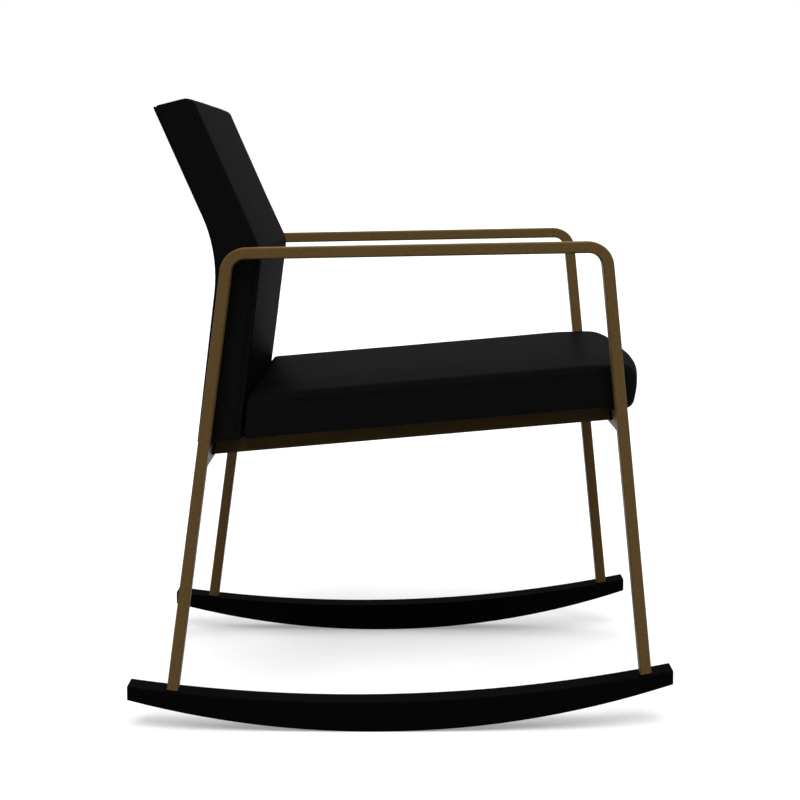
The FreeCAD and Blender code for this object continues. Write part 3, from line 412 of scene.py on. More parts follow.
@dataclass(frozen=True)
class Outline:
    """A closed outline in an upright plane, clockwise, with a radius at each corner.

    Attributes:
        corners: Each corner's Y, Z and radius.
        turns: The corners where one of the four sides of the outline ends.
        counts: Points on the first and third side, and on the second and fourth.
        shares: How much of an inset each edge takes, from its corner to the next.
        least: The smallest radius that an inset leaves.
        arc_steps: Steps along a corner's arc.
    """

    corners: list[Triple]
    turns: tuple[int, int, int, int]
    counts: tuple[int, int]
    shares: tuple[float, ...]
    least: float = 0.0008
    arc_steps: int = 10

    def drawn_in(self, inset: float) -> "Outline":
        """The outline with every side moved inward.

        Args:
            inset: How far.

        Returns:
            The smaller outline.
        """
        moved = []
        count = len(self.corners)
        for i, (y, z, radius) in enumerate(self.corners):
            before, after = self.corners[i - 1], self.corners[(i + 1) % count]
            ahead = Vector((y - before[0], z - before[1])).normalized()
            onward = Vector((after[0] - y, after[1] - z)).normalized()
            turn = onward.cross(ahead)
            arriving, leaving = inset * self.shares[i - 1], inset * self.shares[i]
            shift = (onward * arriving - ahead * leaving) / turn
            size = radius - math.copysign(min(arriving, leaving), turn)
            moved.append((y + shift.x, z + shift.y, max(size, self.least)))
        return replace(self, corners=moved)

    def corner_arc(self, index: int) -> list[Vector]:
        """Points on the arc of one corner."""
        count = len(self.corners)
        y, z, radius = self.corners[index]
        here = Vector((y, z))
        back = (Vector(self.corners[index - 1][:2]) - here).normalized()
        on = (Vector(self.corners[(index + 1) % count][:2]) - here).normalized()
        half = back.angle(on) / 2
        centre = here + (back + on).normalized() * (radius / math.sin(half))
        first = here + back * (radius / math.tan(half)) - centre
        last = here + on * (radius / math.tan(half)) - centre
        turn = math.atan2(first.cross(last), first.dot(last))
        points = []
        for step in range(self.arc_steps + 1):
            angle = turn * step / self.arc_steps
            cosine, sine = math.cos(angle), math.sin(angle)
            spoke = Vector((first.x * cosine - first.y * sine, first.x * sine + first.y * cosine))
            points.append(centre + spoke)
        return points

    def loop(self) -> np.ndarray:
        """Points round the outline, closer together in the corners, the same count for each inset.

        Returns:
            An array of Y and Z rows, that starts in the middle of the first turn's arc.
        """
        count = len(self.corners)
        middle = self.arc_steps // 2
        sides = []
        for k, start in enumerate(self.turns):
            stop = self.turns[(k + 1) % len(self.turns)]
            run = self.corner_arc(start)[middle:]
            step = (start + 1) % count
            while step != stop:
                run += self.corner_arc(step)
                step = (step + 1) % count
            run += self.corner_arc(stop)[: middle + 1]
            sides.append(self.spaced(np.array([tuple(p) for p in run]), self.counts[k % 2]))
        return np.concatenate(sides)

    @staticmethod
    def spaced(run: np.ndarray, count: int) -> np.ndarray:
        """Points along a run, evenly by length and by turning.

        Args:
            run: The run's dense points.
            count: How many points to give, without the last one.

        Returns:
            The points.
        """
        steps = np.diff(run, axis=0)
        lengths = np.hypot(steps[:, 0], steps[:, 1])
        angles = np.unwrap(np.arctan2(steps[:, 1], steps[:, 0]))
        bends = np.abs(np.diff(angles, prepend=angles[0])) + np.abs(np.diff(angles, append=angles[-1]))
        weights = lengths / lengths.sum() + BEND_WEIGHT * bends / max(bends.sum(), TINY)
        travel = np.concatenate([[0], np.cumsum(weights)])
        wanted = np.linspace(0, travel[-1], count, endpoint=False)
        return np.column_stack([np.interp(wanted, travel, run[:, k]) for k in (0, 1)])


def make_object(name: str, vertices: np.ndarray, faces: Faces) -> bpy.types.Object:
    """A smooth shaded mesh object.

    Args:
        name: The object's name.
        vertices: Rows of X, Y and Z.
        faces: Vertex numbers of each face.

    Returns:
        The object, linked to the scene.
    """
    mesh = bpy.data.meshes.new(name)
    mesh.from_pydata([tuple(v) for v in vertices], [], faces)
    mesh.update()
    mesh.polygons.foreach_set("use_smooth", [True] * len(mesh.polygons))
    piece = bpy.data.objects.new(name, mesh)
    bpy.context.scene.collection.objects.link(piece)
    return piece


def bake_modifiers(piece: bpy.types.Object) -> None:
    """Replace a piece's mesh by what its modifiers make of it.

    Args:
        piece: The piece.
    """
    graph = bpy.context.evaluated_depsgraph_get()
    made = bpy.data.meshes.new_from_object(piece.evaluated_get(graph))
    piece.modifiers.clear()
    old = piece.data
    piece.data = made
    bpy.data.meshes.remove(old)


def subdivide(piece: bpy.types.Object) -> None:
    """Split each face of a piece once, smoothly, and keep the result as its mesh.

    Args:
        piece: The piece.
    """
    modifier = piece.modifiers.new("smooth", "SUBSURF")
    modifier.levels = modifier.render_levels = 1
    bake_modifiers(piece)


def attach(piece: bpy.types.Object, slot: str, *nodes: str) -> None:
    """Make a piece ride on the chair and stand for nodes.

    Args:
        piece: The piece.
        slot: The material slot in the record, not used.
        nodes: The nodes that it replaces.
    """
    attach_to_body(piece, BODY)
    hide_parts(*nodes)
    LOG.info("piece %s, %d faces, stands for %s", piece.name, len(piece.data.polygons), ", ".join(nodes))


def dress_node(name: str, finish: Finish) -> None:
    """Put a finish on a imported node.

    Args:
        name: The node.
        finish: The finish.
    """
    finish.dress(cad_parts[name])
    LOG.info("node %s in %s", name, finish.name)


@dataclass
class Upholstered:
    """A padded form across the chair: sections, rounded side edges, sewn side panels.

    Attributes:
        name: The piece's name.
        width: Across the chair.
        rim: Radius of the side edges.
        seam: Distance of the side seam from the side panel's edge.
        groove: Depth of the seam.
        groove_spread: Half width of the seam, as a share of its depth.
        groove_lip: Depth at the seam's edges, as a share of its depth.
        groove_margin: Where the plain side panel starts, in half widths from the seam.
        drawn: How far the sides are drawn in halfway along.
        drawn_power: How quickly that fades from the sides to the middle.
        fullness: How flat the crown is in the middle, 2 for a plain arch.
        billow: Depth of the broad unevenness.
        billow_waves: Its waves in a metre.
        pucker: Depth of the fine unevenness.
        pucker_waves: Its waves in a metre.
        stations: Sections from the middle to the side edge.
        rim_steps: Steps round the side edge.
        radii: Radius of each corner of a section, clockwise from a lower one.
        edge_shares: How much of an inset each edge of a section takes.
    """

    name: str
    width: float
    rim: float
    seam: float
    groove: float = 0.0011
    groove_spread: float = 0.8
    groove_lip: float = 0.15
    groove_margin: float = 3
    drawn: float = 0.0012
    drawn_power: int = 3
    fullness: float = 2.0
    billow: float = 0.00035
    billow_waves: float = 14
    pucker: float = 0.00012
    pucker_waves: float = 45
    stations: int = 30
    rim_steps: int = 8
    radii: tuple[float, ...] = ()
    edge_shares: tuple[float, ...] = ()

    def section(self, crown: float) -> Outline:
        """The outline with a share of the crown. Each form has its own.

        Args:
            crown: Share of the crown, 1 in the middle of the chair.

        Returns:
            The outline.
        """
        raise NotImplementedError

    def sewn(self, ring: np.ndarray) -> np.ndarray:
        """How much of a seam there is at each point of a ring. Each form has its own.

        Args:
            ring: X, Y and Z rows.

        Returns:
            The share of the seam's depth at each point.
        """
        raise NotImplementedError

    def tuck_in(self, place: Vector) -> float:
        """How far a side panel is drawn in at a place. A form without a tuck has none.

        Args:
            place: A place on the form.

        Returns:
            The distance.
        """
        return 0.0

    def across(self) -> list[tuple[float, float]]:
        """Places across the chair and how far the outline is drawn in there, from the middle out."""
        inner = self.width / 2 - self.rim
        places = [(inner * k / self.stations, 0.0) for k in range(self.stations)]
        for step in range(self.rim_steps + 1):
            angle = math.pi / 2 * step / self.rim_steps
            places.append((inner + self.rim * math.sin(angle), self.rim * (1 - math.cos(angle))))
        return places

    def rings(self, side: Side) -> Rings:
        """Rings of points from the middle to the flat side, and over the sewn seam.

        Args:
            side: The side of the chair.

        Returns:
            The rings, each with X, Y and Z rows.
        """
        half = self.width / 2
        made = []
        for place, inset in self.across():
            crown = 1 - (place / half) ** self.fullness
            made.append(self.ring(side.value * place, self.section(crown).drawn_in(inset)))
        return made + self.seam_rings(side)

    def seam_rings(self, side: Side) -> Rings:
        """Rings down into the seam's groove and out of it on a side panel.

        Args:
            side: The side of the chair.

        Returns:
            The rings.
        """
        place = side.value * self.width / 2
        flat = self.section(0.0)
        spread = self.groove * self.groove_spread
        made = []
        for offset, depth in ((-spread, self.groove_lip), (0.0, 1.0), (spread, self.groove_lip)):
            ring = self.ring(place, flat.drawn_in(self.seam + offset))
            ring[:, 0] -= side.value * self.groove * depth * self.sewn(ring)
            made.append(ring)
        made.append(self.ring(place, flat.drawn_in(self.seam + self.groove_margin * spread)))
        return made

    @staticmethod
    def ring(place: float, outline: Outline) -> np.ndarray:
        """An outline's points at a place across the chair."""
        loop = outline.loop()
        return np.column_stack([np.full(len(loop), place), loop])

    @staticmethod
    def side_patch(ring: np.ndarray, counts: tuple[int, int]) -> np.ndarray:
        """A grid of points inside a ring, blended from its four sides.

        Args:
            ring: The ring's points.
            counts: Points on its long and short sides.

        Returns:
            The points, as rows along the short side and columns along the long one.
        """
        long, short = counts
        first = ring[: long + 1]
        end = ring[long : long + short + 1]
        second = ring[long + short : 2 * long + short + 1][::-1]
        start = np.vstack([ring[2 * long + short :], ring[:1]])[::-1]
        u = np.linspace(0, 1, long + 1)[None, :, None]
        v = np.linspace(0, 1, short + 1)[:, None, None]
        blend = (1 - v) * first[None] + v * second[None] + (1 - u) * start[:, None] + u * end[:, None]
        near = (1 - u) * (1 - v) * first[0] + u * (1 - v) * first[-1]
        return blend - (near + (1 - u) * v * second[0] + u * v * second[-1])

    def close_side(self, ring: np.ndarray, first: int, total: int, forward: bool) -> tuple[np.ndarray, Faces]:
        """Fill a side's last ring with a grid.

        Args:
            ring: The ring.
            first: The number of the ring's first vertex.
            total: The number of the first new vertex.
            forward: The way round that the faces look.

        Returns:
            The new vertices and the faces.
        """
        long, short = self.section(0.0).counts
        ring_size = 2 * (long + short)
        inner = self.side_patch(ring, (long, short))[1:-1, 1:-1].reshape(-1, 3)
        numbers = np.zeros((short + 1, long + 1), dtype=int)
        numbers[0] = first + np.arange(long + 1)
        numbers[:, -1] = first + long + np.arange(short + 1)
        numbers[-1] = first + long + short + long - np.arange(long + 1)
        numbers[:, 0] = first + (ring_size - np.arange(short + 1)) % ring_size
        numbers[1:-1, 1:-1] = total + np.arange(len(inner)).reshape(short - 1, long - 1)
        faces = []
        for v in range(short):
            for u in range(long):
                quad = (numbers[v, u], numbers[v, u + 1], numbers[v + 1, u + 1], numbers[v + 1, u])
                faces.append(tuple(int(n) for n in (quad if forward else quad[::-1])))
        return inner, faces

    def build(self) -> bpy.types.Object:
        """Make the form as one closed mesh.

        Returns:
            The object.
        """
        rings = self.rings(Side.RIGHT)[:0:-1] + self.rings(Side.LEFT)
        count = len(rings[0])
        last = len(rings) - 1
        vertices = [np.vstack(rings)]
        faces = []
        for k in range(last):
            for i in range(count):
                j = (i + 1) % count
                faces.append((k * count + i, (k + 1) * count + i, (k + 1) * count + j, k * count + j))
        total = len(rings) * count
        for k, forward in ((0, False), (last, True)):
            added, patch = self.close_side(rings[k], k * count, total, forward)
            vertices.append(added)
            total += len(added)
            faces += patch
        return make_object(self.name, np.vstack(vertices), faces)

    def relax(self, piece: bpy.types.Object, span: Span, axis: int) -> None:
        """Draw the sides in between the ends, and leave the faint unevenness of padding under cloth.

        Args:
            piece: The form.
            span: Where the form starts and ends along an axis.
            axis: That axis.
        """
        half = self.width / 2
        mesh = piece.data
        for vertex, normal in zip(mesh.vertices, [n.vector.copy() for n in mesh.vertex_normals]):
            place = vertex.co
            share = (place[axis] - span[0]) / (span[1] - span[0])
            pull = self.drawn * math.sin(math.pi * min(max(share, 0), 1)) + self.tuck_in(place)
            place.x -= math.copysign(pull * abs(place.x / half) ** self.drawn_power, place.x)
            broad = self.billow * noise.noise(place * self.billow_waves)
            fine = self.pucker * noise.noise(place * self.pucker_waves)
            vertex.co = place + normal * (broad + fine)
        mesh.update()


@dataclass
class SeatCushion(Upholstered):
    """The seat: flat topped foam with a bullnose front, sewn along its sides.

    Lengths run along the sloping seat plane to the rear, heights square to it.

    Attributes:
        plane: Height of the seat plane halfway along the chair.
        rise: How steeply the seat rises to the front.
        rear: Rear end.
        hollow: How far the rear end is hollowed in the middle.
        lean: How far the rear face leans forward.
        front: Distance of the front face ahead.
        thick: Height of the side panels.
        crown: Rise of the top in the middle.
        fall: How much of the crown is gone at the nose.
        brow: Drop of the top where it rolls over the nose.
        ease: Length of that drop.
        nose: Bow of the front face in the middle.
        nose_height: Height of the nose's foremost line, as a share of the side panels' height.
        tuck: Depth of the lower part behind the nose.
        tuck_run: Length of the slope down to it.
        tuck_length: Length of that part.
        chin: How far it stays behind the front face.
        brow_back: How far the top of the front face stays behind its middle.
        side_tuck: How far the side panels curve in at their lower edge.
        side_tuck_top: Where that curve starts, as a share of the side panels' height.
        skin: Clearance under the seat.
        seam_from: Where the side seam starts, as a share of the side panels' height.
        nose_from: Where it turns down round the nose, as a share of the front's distance.
        seam_fade: Length over which the seam fades in.
        foot_fade: Height over which it fades out at the lower edge.
    """

    plane: float = 0.3912
    rise: float = SEAT_RISE
    rear: float = 0.2035
    hollow: float = 0.0065
    lean: float = 0.010
    front: float = 0.3065
    thick: float = 0.056
    crown: float = 0.0088
    fall: float = 0.0035
    brow: float = 0.0035
    ease: float = 0.060
    nose: float = 0.0130
    nose_height: float = 0.42
    tuck: float = 0.004
    tuck_run: float = 0.012
    tuck_length: float = 0.036
    chin: float = 0.0056
    brow_back: float = 0.001
    side_tuck: float = 0.0045
    side_tuck_top: float = 0.8
    skin: float = 0.0002
    seam_from: float = 0.6
    nose_from: float = 0.87
    seam_fade: float = 0.008
    foot_fade: float = 0.010
    radii: tuple[float, ...] = (0.0035, 0.020, 0.020, 0.013, 0.060, 0.018, 0.200, 0.010)
    edge_shares: tuple[float, ...] = (0.15, 0.15, 0.3, 0.9, 1.0, 1.0, 1.0, 0.25)

    def section(self, crown: float) -> Outline:
        """The seat's side view."""
        heel = self.front - self.tuck_length
        nose = self.front + crown * self.nose
        top = self.thick + crown * self.crown
        near_top = top - crown * self.fall
        rear = self.rear - crown * self.hollow
        flat = [
            (rear, -self.skin),
            (self.tuck_run - heel, -self.skin),
            (-heel, -self.tuck),
            (self.chin - self.front, -self.tuck),
            (-nose, self.thick * self.nose_height),
            (-nose + self.brow_back, near_top - self.brow),
            (self.ease - nose, near_top),
            (rear - self.lean, top),
        ]
        corners = [(*self.upright(*place), radius) for place, radius in zip(flat, self.radii)]
        return Outline(corners, turns=(0, 3, 5, 7), counts=(96, 18), shares=self.edge_shares)

    def upright(self, along: float, above: float) -> Point:
        """A place on the sloping seat plane as Y and Z.

        Args:
            along: Distance to the rear along the plane.
            above: Height above it.

        Returns:
            Y and Z.
        """
        cosine, sine = math.cos(self.rise), math.sin(self.rise)
        return along * cosine + above * sine, self.plane - along * sine + above * cosine

    def tuck_in(self, place: Vector) -> float:
        """How far the side panel curves in towards its lower edge."""
        height = (place.z - self.plane) * math.cos(self.rise) + place.y * math.sin(self.rise)
        below = 1 - min(max(height / (self.side_tuck_top * self.thick), 0), 1)
        return self.side_tuck * below * below

    def sewn(self, ring: np.ndarray) -> np.ndarray:
        """The seam runs along the top edge and round the nose, and fades out below."""
        cosine, sine = math.cos(self.rise), math.sin(self.rise)
        height = (ring[:, 2] - self.plane) * cosine + ring[:, 1] * sine
        along = ring[:, 1] * cosine - (ring[:, 2] - self.plane) * sine
        on_top = np.clip((height - self.seam_from * self.thick) / self.seam_fade, 0, 1)
        on_nose = np.clip((-along - self.nose_from * self.front) / self.seam_fade, 0, 1)
        return np.maximum(on_top, on_nose * np.clip(height / self.foot_fade, 0, 1))

    def make(self) -> bpy.types.Object:
        """Returns:
            The piece.
        """
        piece = self.build()
        self.relax(piece, (-self.front, self.rear), Y_AXIS)
        subdivide(piece)
        CLOTH.dress(piece)
        attach(piece, "upholstery", "seat_cushion")
        return piece


@dataclass
class BackCushion(Upholstered):
    """The back: kinked foam pad whose upper part leans away.

    Attributes:
        kink: The front face's kink at the side edges.
        lean: How steeply the front face runs forward below the kink.
        rake: How steeply it leans back above the kink.
        low: Length of the face below the kink.
        high: Length of the face above the kink.
        thick: Thickness below the kink.
        waist: How much thinner the pad is above the kink.
        top_fall: How steeply the top falls to the rear.
        foot_fall: How steeply the foot falls to the rear.
        crown: Bulge of the front face at the kink in the middle.
        foot_share: Share of that bulge at the foot.
        head_share: Share of that bulge at the top.
        seam_front: How far behind the front face the side seam runs.
        seam_top: How far below the top it runs.
        front_fade: Length over which the front run fades.
        top_fade: Length over which the top run fades.
    """

    kink: Point = (0.1758, 0.6136)
    lean: float = math.radians(7.03)
    rake: float = math.radians(23.7)
    low: float = 0.2418
    high: float = 0.2142
    thick: float = 0.0514
    waist: float = 0.0036
    top_fall: float = math.radians(14.0)
    foot_fall: float = math.radians(5.0)
    crown: float = 0.0098
    foot_share: float = 0.65
    head_share: float = 0.15
    seam_front: float = 0.024
    seam_top: float = 0.028
    front_fade: float = 0.006
    top_fade: float = 0.004
    radii: tuple[float, ...] = (0.0035, 0.045, 0.014, 0.003, 0.190, 0.003)
    edge_shares: tuple[float, ...] = (1.0, 1.0, 1.0, 0.4, 0.4, 0.4)

    def foot(self) -> Point:
        """Lower end of the front face."""
        return self.kink[0] + self.low * math.sin(self.lean), self.kink[1] - self.low * math.cos(self.lean)

    def head(self) -> Point:
        """Upper end of the front face."""
        return self.kink[0] + self.high * math.sin(self.rake), self.kink[1] + self.high * math.cos(self.rake)

    def layer(self, below: float, above: float) -> list[Point]:
        """Foot, kink and head of a layer behind the front face.

        Args:
            below: How far behind below the kink.
            above: How far behind above the kink.

        Returns:
            The three places.
        """
        tan_lean, tan_rake = math.tan(self.lean), math.tan(self.rake)
        y, z = self.kink
        low, high = below / math.cos(self.lean), above / math.cos(self.rake)
        gain = (high - low) / (tan_lean + tan_rake)
        turn = (y + low + tan_lean * gain, z - gain)
        foot = self.meet(y + low, -tan_lean, self.foot(), self.foot_fall)
        head = self.meet(y + high, tan_rake, self.head(), self.top_fall)
        return [foot, turn, head]

    def meet(self, start: float, slope: float, on: Point, fall: float) -> Point:
        """Where a layer's line meets the sloping line through a point.

        Args:
            start: The layer's Y at the kink's height.
            slope: The layer's change of Y with height.
            on: A point on the other line.
            fall: How steeply that line falls to the rear.

        Returns:
            The meeting place.
        """
        level = self.kink[1]
        drop = math.tan(fall)
        z = (on[1] - drop * (start - on[0] - slope * level)) / (1 + drop * slope)
        return start + slope * (z - level), z

    def section(self, crown: float) -> Outline:
        """The back's side view."""
        rise = crown * self.crown
        foot, kink, head = self.layer(0, 0)
        rear_foot, rear_kink, rear_head = self.layer(self.thick, self.thick - self.waist)
        places = [
            (foot[0] - rise * self.foot_share, foot[1]),
            (kink[0] - rise, kink[1]),
            (head[0] - rise * self.head_share, head[1]),
            rear_head,
            rear_kink,
            rear_foot,
        ]
        corners = [(*place, radius) for place, radius in zip(places, self.radii)]
        return Outline(corners, turns=(0, 2, 3, 5), counts=(84, 14), shares=self.edge_shares)

    def sewn(self, ring: np.ndarray) -> np.ndarray:
        """The seam runs up the front edge and along the top."""
        above = ring[:, 2] - self.kink[1]
        front = self.kink[0] + np.where(above > 0, math.tan(self.rake) * above, -math.tan(self.lean) * above)
        near = np.clip((self.seam_front - (ring[:, 1] - front)) / self.front_fade, 0, 1)
        top = np.clip((ring[:, 2] - self.head()[1] + self.seam_top) / self.top_fade, 0, 1)
        return np.maximum(near, top)

    def make(self) -> bpy.types.Object:
        """Returns:
            The piece.
        """
        piece = self.build()
        self.relax(piece, (self.foot()[1], self.head()[1]), Z_AXIS)
        subdivide(piece)
        CLOTH.dress(piece)
        attach(piece, "upholstery", "back_cushion")
        return piece


@dataclass
class RearPanel(BackCushion):
    """Thin padded panel that closes the back, flat across, with a soft edge.

    Attributes:
        front_depth: Distance of its hidden face behind the back's front face.
        depth: Its thickness.
        reveal: How far it stays inside the pad's foot and top.
        least: The smallest radius that an inset leaves.
    """

    front_depth: float = 0.0516
    depth: float = 0.0027
    reveal: float = 0.0008
    radii: tuple[float, ...] = (0.0009, 0.190, 0.0009, 0.0012, 0.187, 0.0012)
    edge_shares: tuple[float, ...] = (0.0, 0.0, 1.0, 1.0, 1.0, 1.0)
    least: float = 0.0003

    def section(self, crown: float) -> Outline:
        """The panel's side view, a thin kinked band, whatever the crown."""
        front, rear = self.front_depth, self.front_depth + self.depth
        foot, kink, head = self.layer(front, front - self.waist)
        rear_foot, rear_kink, rear_head = self.layer(rear, rear - self.waist)
        places = [
            (foot[0], foot[1] + self.reveal),
            kink,
            (head[0], head[1] - self.reveal),
            (rear_head[0], rear_head[1] - self.reveal),
            rear_kink,
            (rear_foot[0], rear_foot[1] + self.reveal),
        ]
        corners = [(*place, radius) for place, radius in zip(places, self.radii)]
        return Outline(corners, turns=(0, 2, 3, 5), counts=(84, 4), shares=self.edge_shares, least=self.least)

    def seam_rings(self, side: Side) -> Rings:
        """The panel has no side seam."""
        return []

    def make(self) -> bpy.types.Object:
        """Returns:
            The piece.
        """
        piece = self.build()
        CLOTH.dress(piece)
        attach(piece, "upholstery", "back_rear_panel")
        return piece


@dataclass
class TubeFrame:
    """Side frames, cross rails, side rails and straps, all powder coated tube and flat steel."""

    finish: Finish = BRONZE

    def names(self) -> list[str]:
        """The nodes of this sub-assembly."""
        names = [f"cross_rail_{leg.value}" for leg in Leg]
        for side in Side:
            names += [f"{stem}_{side.word}" for stem in ("side_frame", "seat_rail", "back_strap")]
        return names

    def make(self) -> None:
        """Dress the nodes."""
        for name in self.names():
            dress_node(name, self.finish)


@dataclass
class Runners:
    """The two crescent runners."""

    finish: Finish = LACQUER

    def make(self) -> None:
        """Dress the nodes."""
        for side in Side:
            dress_node(f"runner_{side.word}", self.finish)


@dataclass
class SmallParts:
    """Plugs, spacers, bolts, studs, inserts, board and core, by the first words of their names."""

    plastic: tuple[str, ...] = ("rail_plug", "back_spacer")
    steel: tuple[str, ...] = ("runner_bolt", "rail_bolt", "leg_insert", "back_stud", "strap_bolts", "seat_screws")
    plywood: tuple[str, ...] = ("seat_board", "back_core")

    def finish_of(self, name: str) -> Finish | None:
        """The finish of a small part's node, or none for another node."""
        for stems, finish in ((self.plastic, PLASTIC), (self.steel, ZINC), (self.plywood, PLY)):
            if name.startswith(stems):
                return finish
        return None

    def make(self) -> None:
        """Dress the nodes."""
        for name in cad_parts:
            finish = self.finish_of(name)
            if finish:
                dress_node(name, finish)


@dataclass
class SeatLining:
    """Dust cloth stapled under the seat board, with a folded hem.

    Attributes:
        rise: How steeply the seat rises to the front.
        gap: Clearance under the board.
        thick: Thickness of the cloth.
        hem: Width of the hem.
        fold: How much lower the folded hem lies.
        ripple: Depth of the cloth's waves.
        waves_across: Waves in a metre across the chair.
        waves_along: Waves in a metre along it.
        columns: Faces across.
        rows: Faces along.
    """

    rise: float = SEAT_RISE
    gap: float = 0.0003
    thick: float = 0.0006
    hem: float = 0.012
    fold: float = 0.0004
    ripple: float = 0.0005
    waves_across: float = 9
    waves_along: float = 30
    columns: int = 60
    rows: int = 60

    def sag(self, place: Point, edge: float) -> float:
        """How far the cloth hangs below the board at X and Y, by its distance from the cloth's edge."""
        fold = self.fold if edge < self.hem else 0.0
        wave = noise.noise(Vector((place[0] * self.waves_across, place[1] * self.waves_along, 0)))
        return fold + self.ripple * (0.5 + 0.5 * wave) * min(1, edge / self.hem)

    def make(self) -> bpy.types.Object:
        """Build the cloth under the board, in the place of its node.

        Returns:
            The piece.
        """
        low, high = (Vector(corner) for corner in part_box("seat_lining"))
        width = high.x - low.x
        length = (high.y - low.y) / math.cos(self.rise)
        vertices, faces = [], []
        for r in range(self.rows + 1):
            for c in range(self.columns + 1):
                u, v = c / self.columns, r / self.rows
                x = low.x + width * u
                y = low.y + (high.y - low.y) * v
                edge = min(u * width, (1 - u) * width, v * length, (1 - v) * length)
                z = high.z - self.gap - (y - low.y) * math.tan(self.rise)
                vertices.append((x, y, z - self.sag((x, y), edge)))
        stride = self.columns + 1
        for r in range(self.rows):
            for c in range(self.columns):
                k = r * stride + c
                faces.append((k, k + stride, k + stride + 1, k + 1))
        piece = make_object("seat_lining_cloth", np.array(vertices), faces)
        solid = piece.modifiers.new("body", "SOLIDIFY")
        solid.thickness = self.thick
        solid.offset = -1
        bake_modifiers(piece)
        LINING.dress(piece)
        attach(piece, "black_lining", "seat_lining")
        return piece


@dataclass(frozen=True)
class Lamp:
    """A broad even light from far away.

    Attributes:
        name: Its name.
        bearing: The direction that it comes from in degrees, from +X towards +Y.
        height: Its height above the horizon in degrees.
        softness: How wide it looks in degrees.
        strength: Its strength.
    """

    name: str
    bearing: float
    height: float
    softness: float
    strength: float

    def make(self) -> None:
        """Hang the lamp. No surface mirrors it."""
        data = bpy.data.lights.new(self.name, "SUN")
        data.energy = self.strength
        data.angle = math.radians(self.softness)
        lamp = bpy.data.objects.new(self.name, data)
        turn, rise = math.radians(self.bearing), math.radians(self.height)
        aim = -Vector((math.cos(rise) * math.cos(turn), math.cos(rise) * math.sin(turn), math.sin(rise)))
        lamp.rotation_euler = aim.to_track_quat("-Z", "Y").to_euler()
        lamp.visible_glossy = False
        bpy.context.scene.collection.objects.link(lamp)


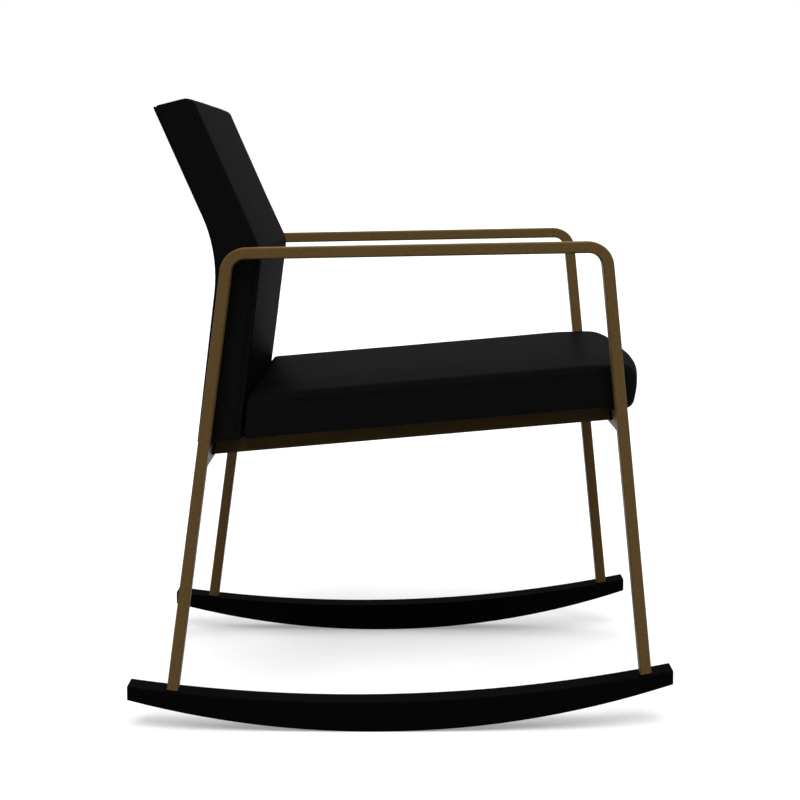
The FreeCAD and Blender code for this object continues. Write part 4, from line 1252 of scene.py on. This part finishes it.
@dataclass
class Studio:
    """Pale floor, soft lights and the camera.

    Attributes:
        lamps: The lamps.
        camera_place: Where the camera stands.
        camera_dip: How far it looks down in radians.
        lens: Its focal length in millimetres.
        sensor: Its sensor's width in millimetres.
        sight: How far it sees.
        ambient: The backdrop's level as a light.
        bounce: How much light the floor gives back.
        floor_size: Half the floor's width.
        floor_glow: The floor's own light, as the camera sees it.
        floor_shade: The floor's paleness, as the camera sees it.
    """

    lamps: tuple[Lamp, ...] = (
        Lamp("right_softbox", bearing=180, height=50, softness=40, strength=3.0),
        Lamp("left_softbox", bearing=0, height=45, softness=40, strength=1.0),
        Lamp("front_softbox", bearing=270, height=45, softness=40, strength=1.0),
        Lamp("rear_softbox", bearing=90, height=45, softness=40, strength=0.6),
    )
    camera_place: Triple = (-2.8135, 0.0, 0.7188)
    camera_dip: float = 0.115
    lens: float = 90.0
    sensor: float = 36.0
    sight: float = 60.0
    ambient: float = 0.09
    bounce: float = 0.06
    floor_size: float = 30.0
    floor_glow: float = 0.33
    floor_shade: float = 0.72

    def sky(self) -> None:
        """White to the eye, and a soft level for the light."""
        world = bpy.data.worlds.new("studio")
        world.use_nodes = True
        tree = Tree(world.node_tree)
        white = world.node_tree.nodes["Background"]
        white.inputs["Color"].default_value = WHITE
        soft = tree.add("ShaderNodeBackground", Color=WHITE, Strength=self.ambient)
        both = tree.mixed(tree.backdrop_share(), soft.outputs[0], white.outputs[0])
        tree.join(both, world.node_tree.nodes["World Output"].inputs["Surface"])
        bpy.context.scene.world = world

    def floor(self) -> None:
        """A white floor that keeps the chair's soft shadow."""
        size, shade, bounce = self.floor_size, self.floor_shade, self.bounce
        corners = np.array([(-size, -size, 0), (size, -size, 0), (size, size, 0), (-size, size, 0)])
        floor = make_object("studio_floor", corners, [(0, 1, 2, 3)])
        graph = Graph("studio_floor")
        shown = graph.add("ShaderNodeAddShader")
        lit = graph.add("ShaderNodeBsdfDiffuse", Color=(shade, shade, shade, 1))
        glow = graph.add("ShaderNodeEmission", Strength=self.floor_glow)
        graph.join(lit.outputs[0], shown.inputs[0])
        graph.join(glow.outputs[0], shown.inputs[1])
        dim = graph.add("ShaderNodeBsdfDiffuse", Color=(bounce, bounce, bounce, 1))
        both = graph.mixed(graph.backdrop_share(), dim.outputs[0], shown.outputs[0])
        graph.join(both, graph.output.inputs["Surface"])
        floor.data.materials.append(graph.material)

    def camera(self) -> None:
        """The camera of the photograph."""
        data = bpy.data.cameras.new("camera")
        data.lens = self.lens
        data.sensor_width = self.sensor
        data.clip_end = self.sight
        camera = bpy.data.objects.new("camera", data)
        aim = Vector((math.cos(self.camera_dip), 0, -math.sin(self.camera_dip)))
        camera.location = self.camera_place
        camera.rotation_euler = aim.to_track_quat("-Z", "Y").to_euler()
        bpy.context.scene.collection.objects.link(camera)
        bpy.context.scene.camera = camera

    def make(self) -> None:
        """Set the studio up."""
        bpy.context.scene.view_settings.view_transform = "Standard"
        self.sky()
        self.floor()
        for lamp in self.lamps:
            lamp.make()
        self.camera()
        LOG.info("studio with %d lamps", len(self.lamps))


def main() -> None:
    """Build the chair's looks in order."""
    logging.basicConfig(level=logging.INFO, format="%(name)s: %(message)s")
    seat_low, seat_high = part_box("seat_cushion")
    back_low, back_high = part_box("back_cushion")
    panel_low, panel_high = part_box("back_rear_panel")
    Studio().make()
    TubeFrame().make()
    Runners().make()
    SmallParts().make()
    SeatCushion("seat_cover", seat_high[0] - seat_low[0], rim=0.0105, seam=0.0112, fullness=4.0).make()
    BackCushion("back_cover", back_high[0] - back_low[0], rim=0.0035, seam=0.0062, fullness=3.0).make()
    RearPanel("back_rear_cover", panel_high[0] - panel_low[0], rim=0.0006, seam=0.0).make()
    SeatLining().make()


if __name__ == "__main__":
    main()
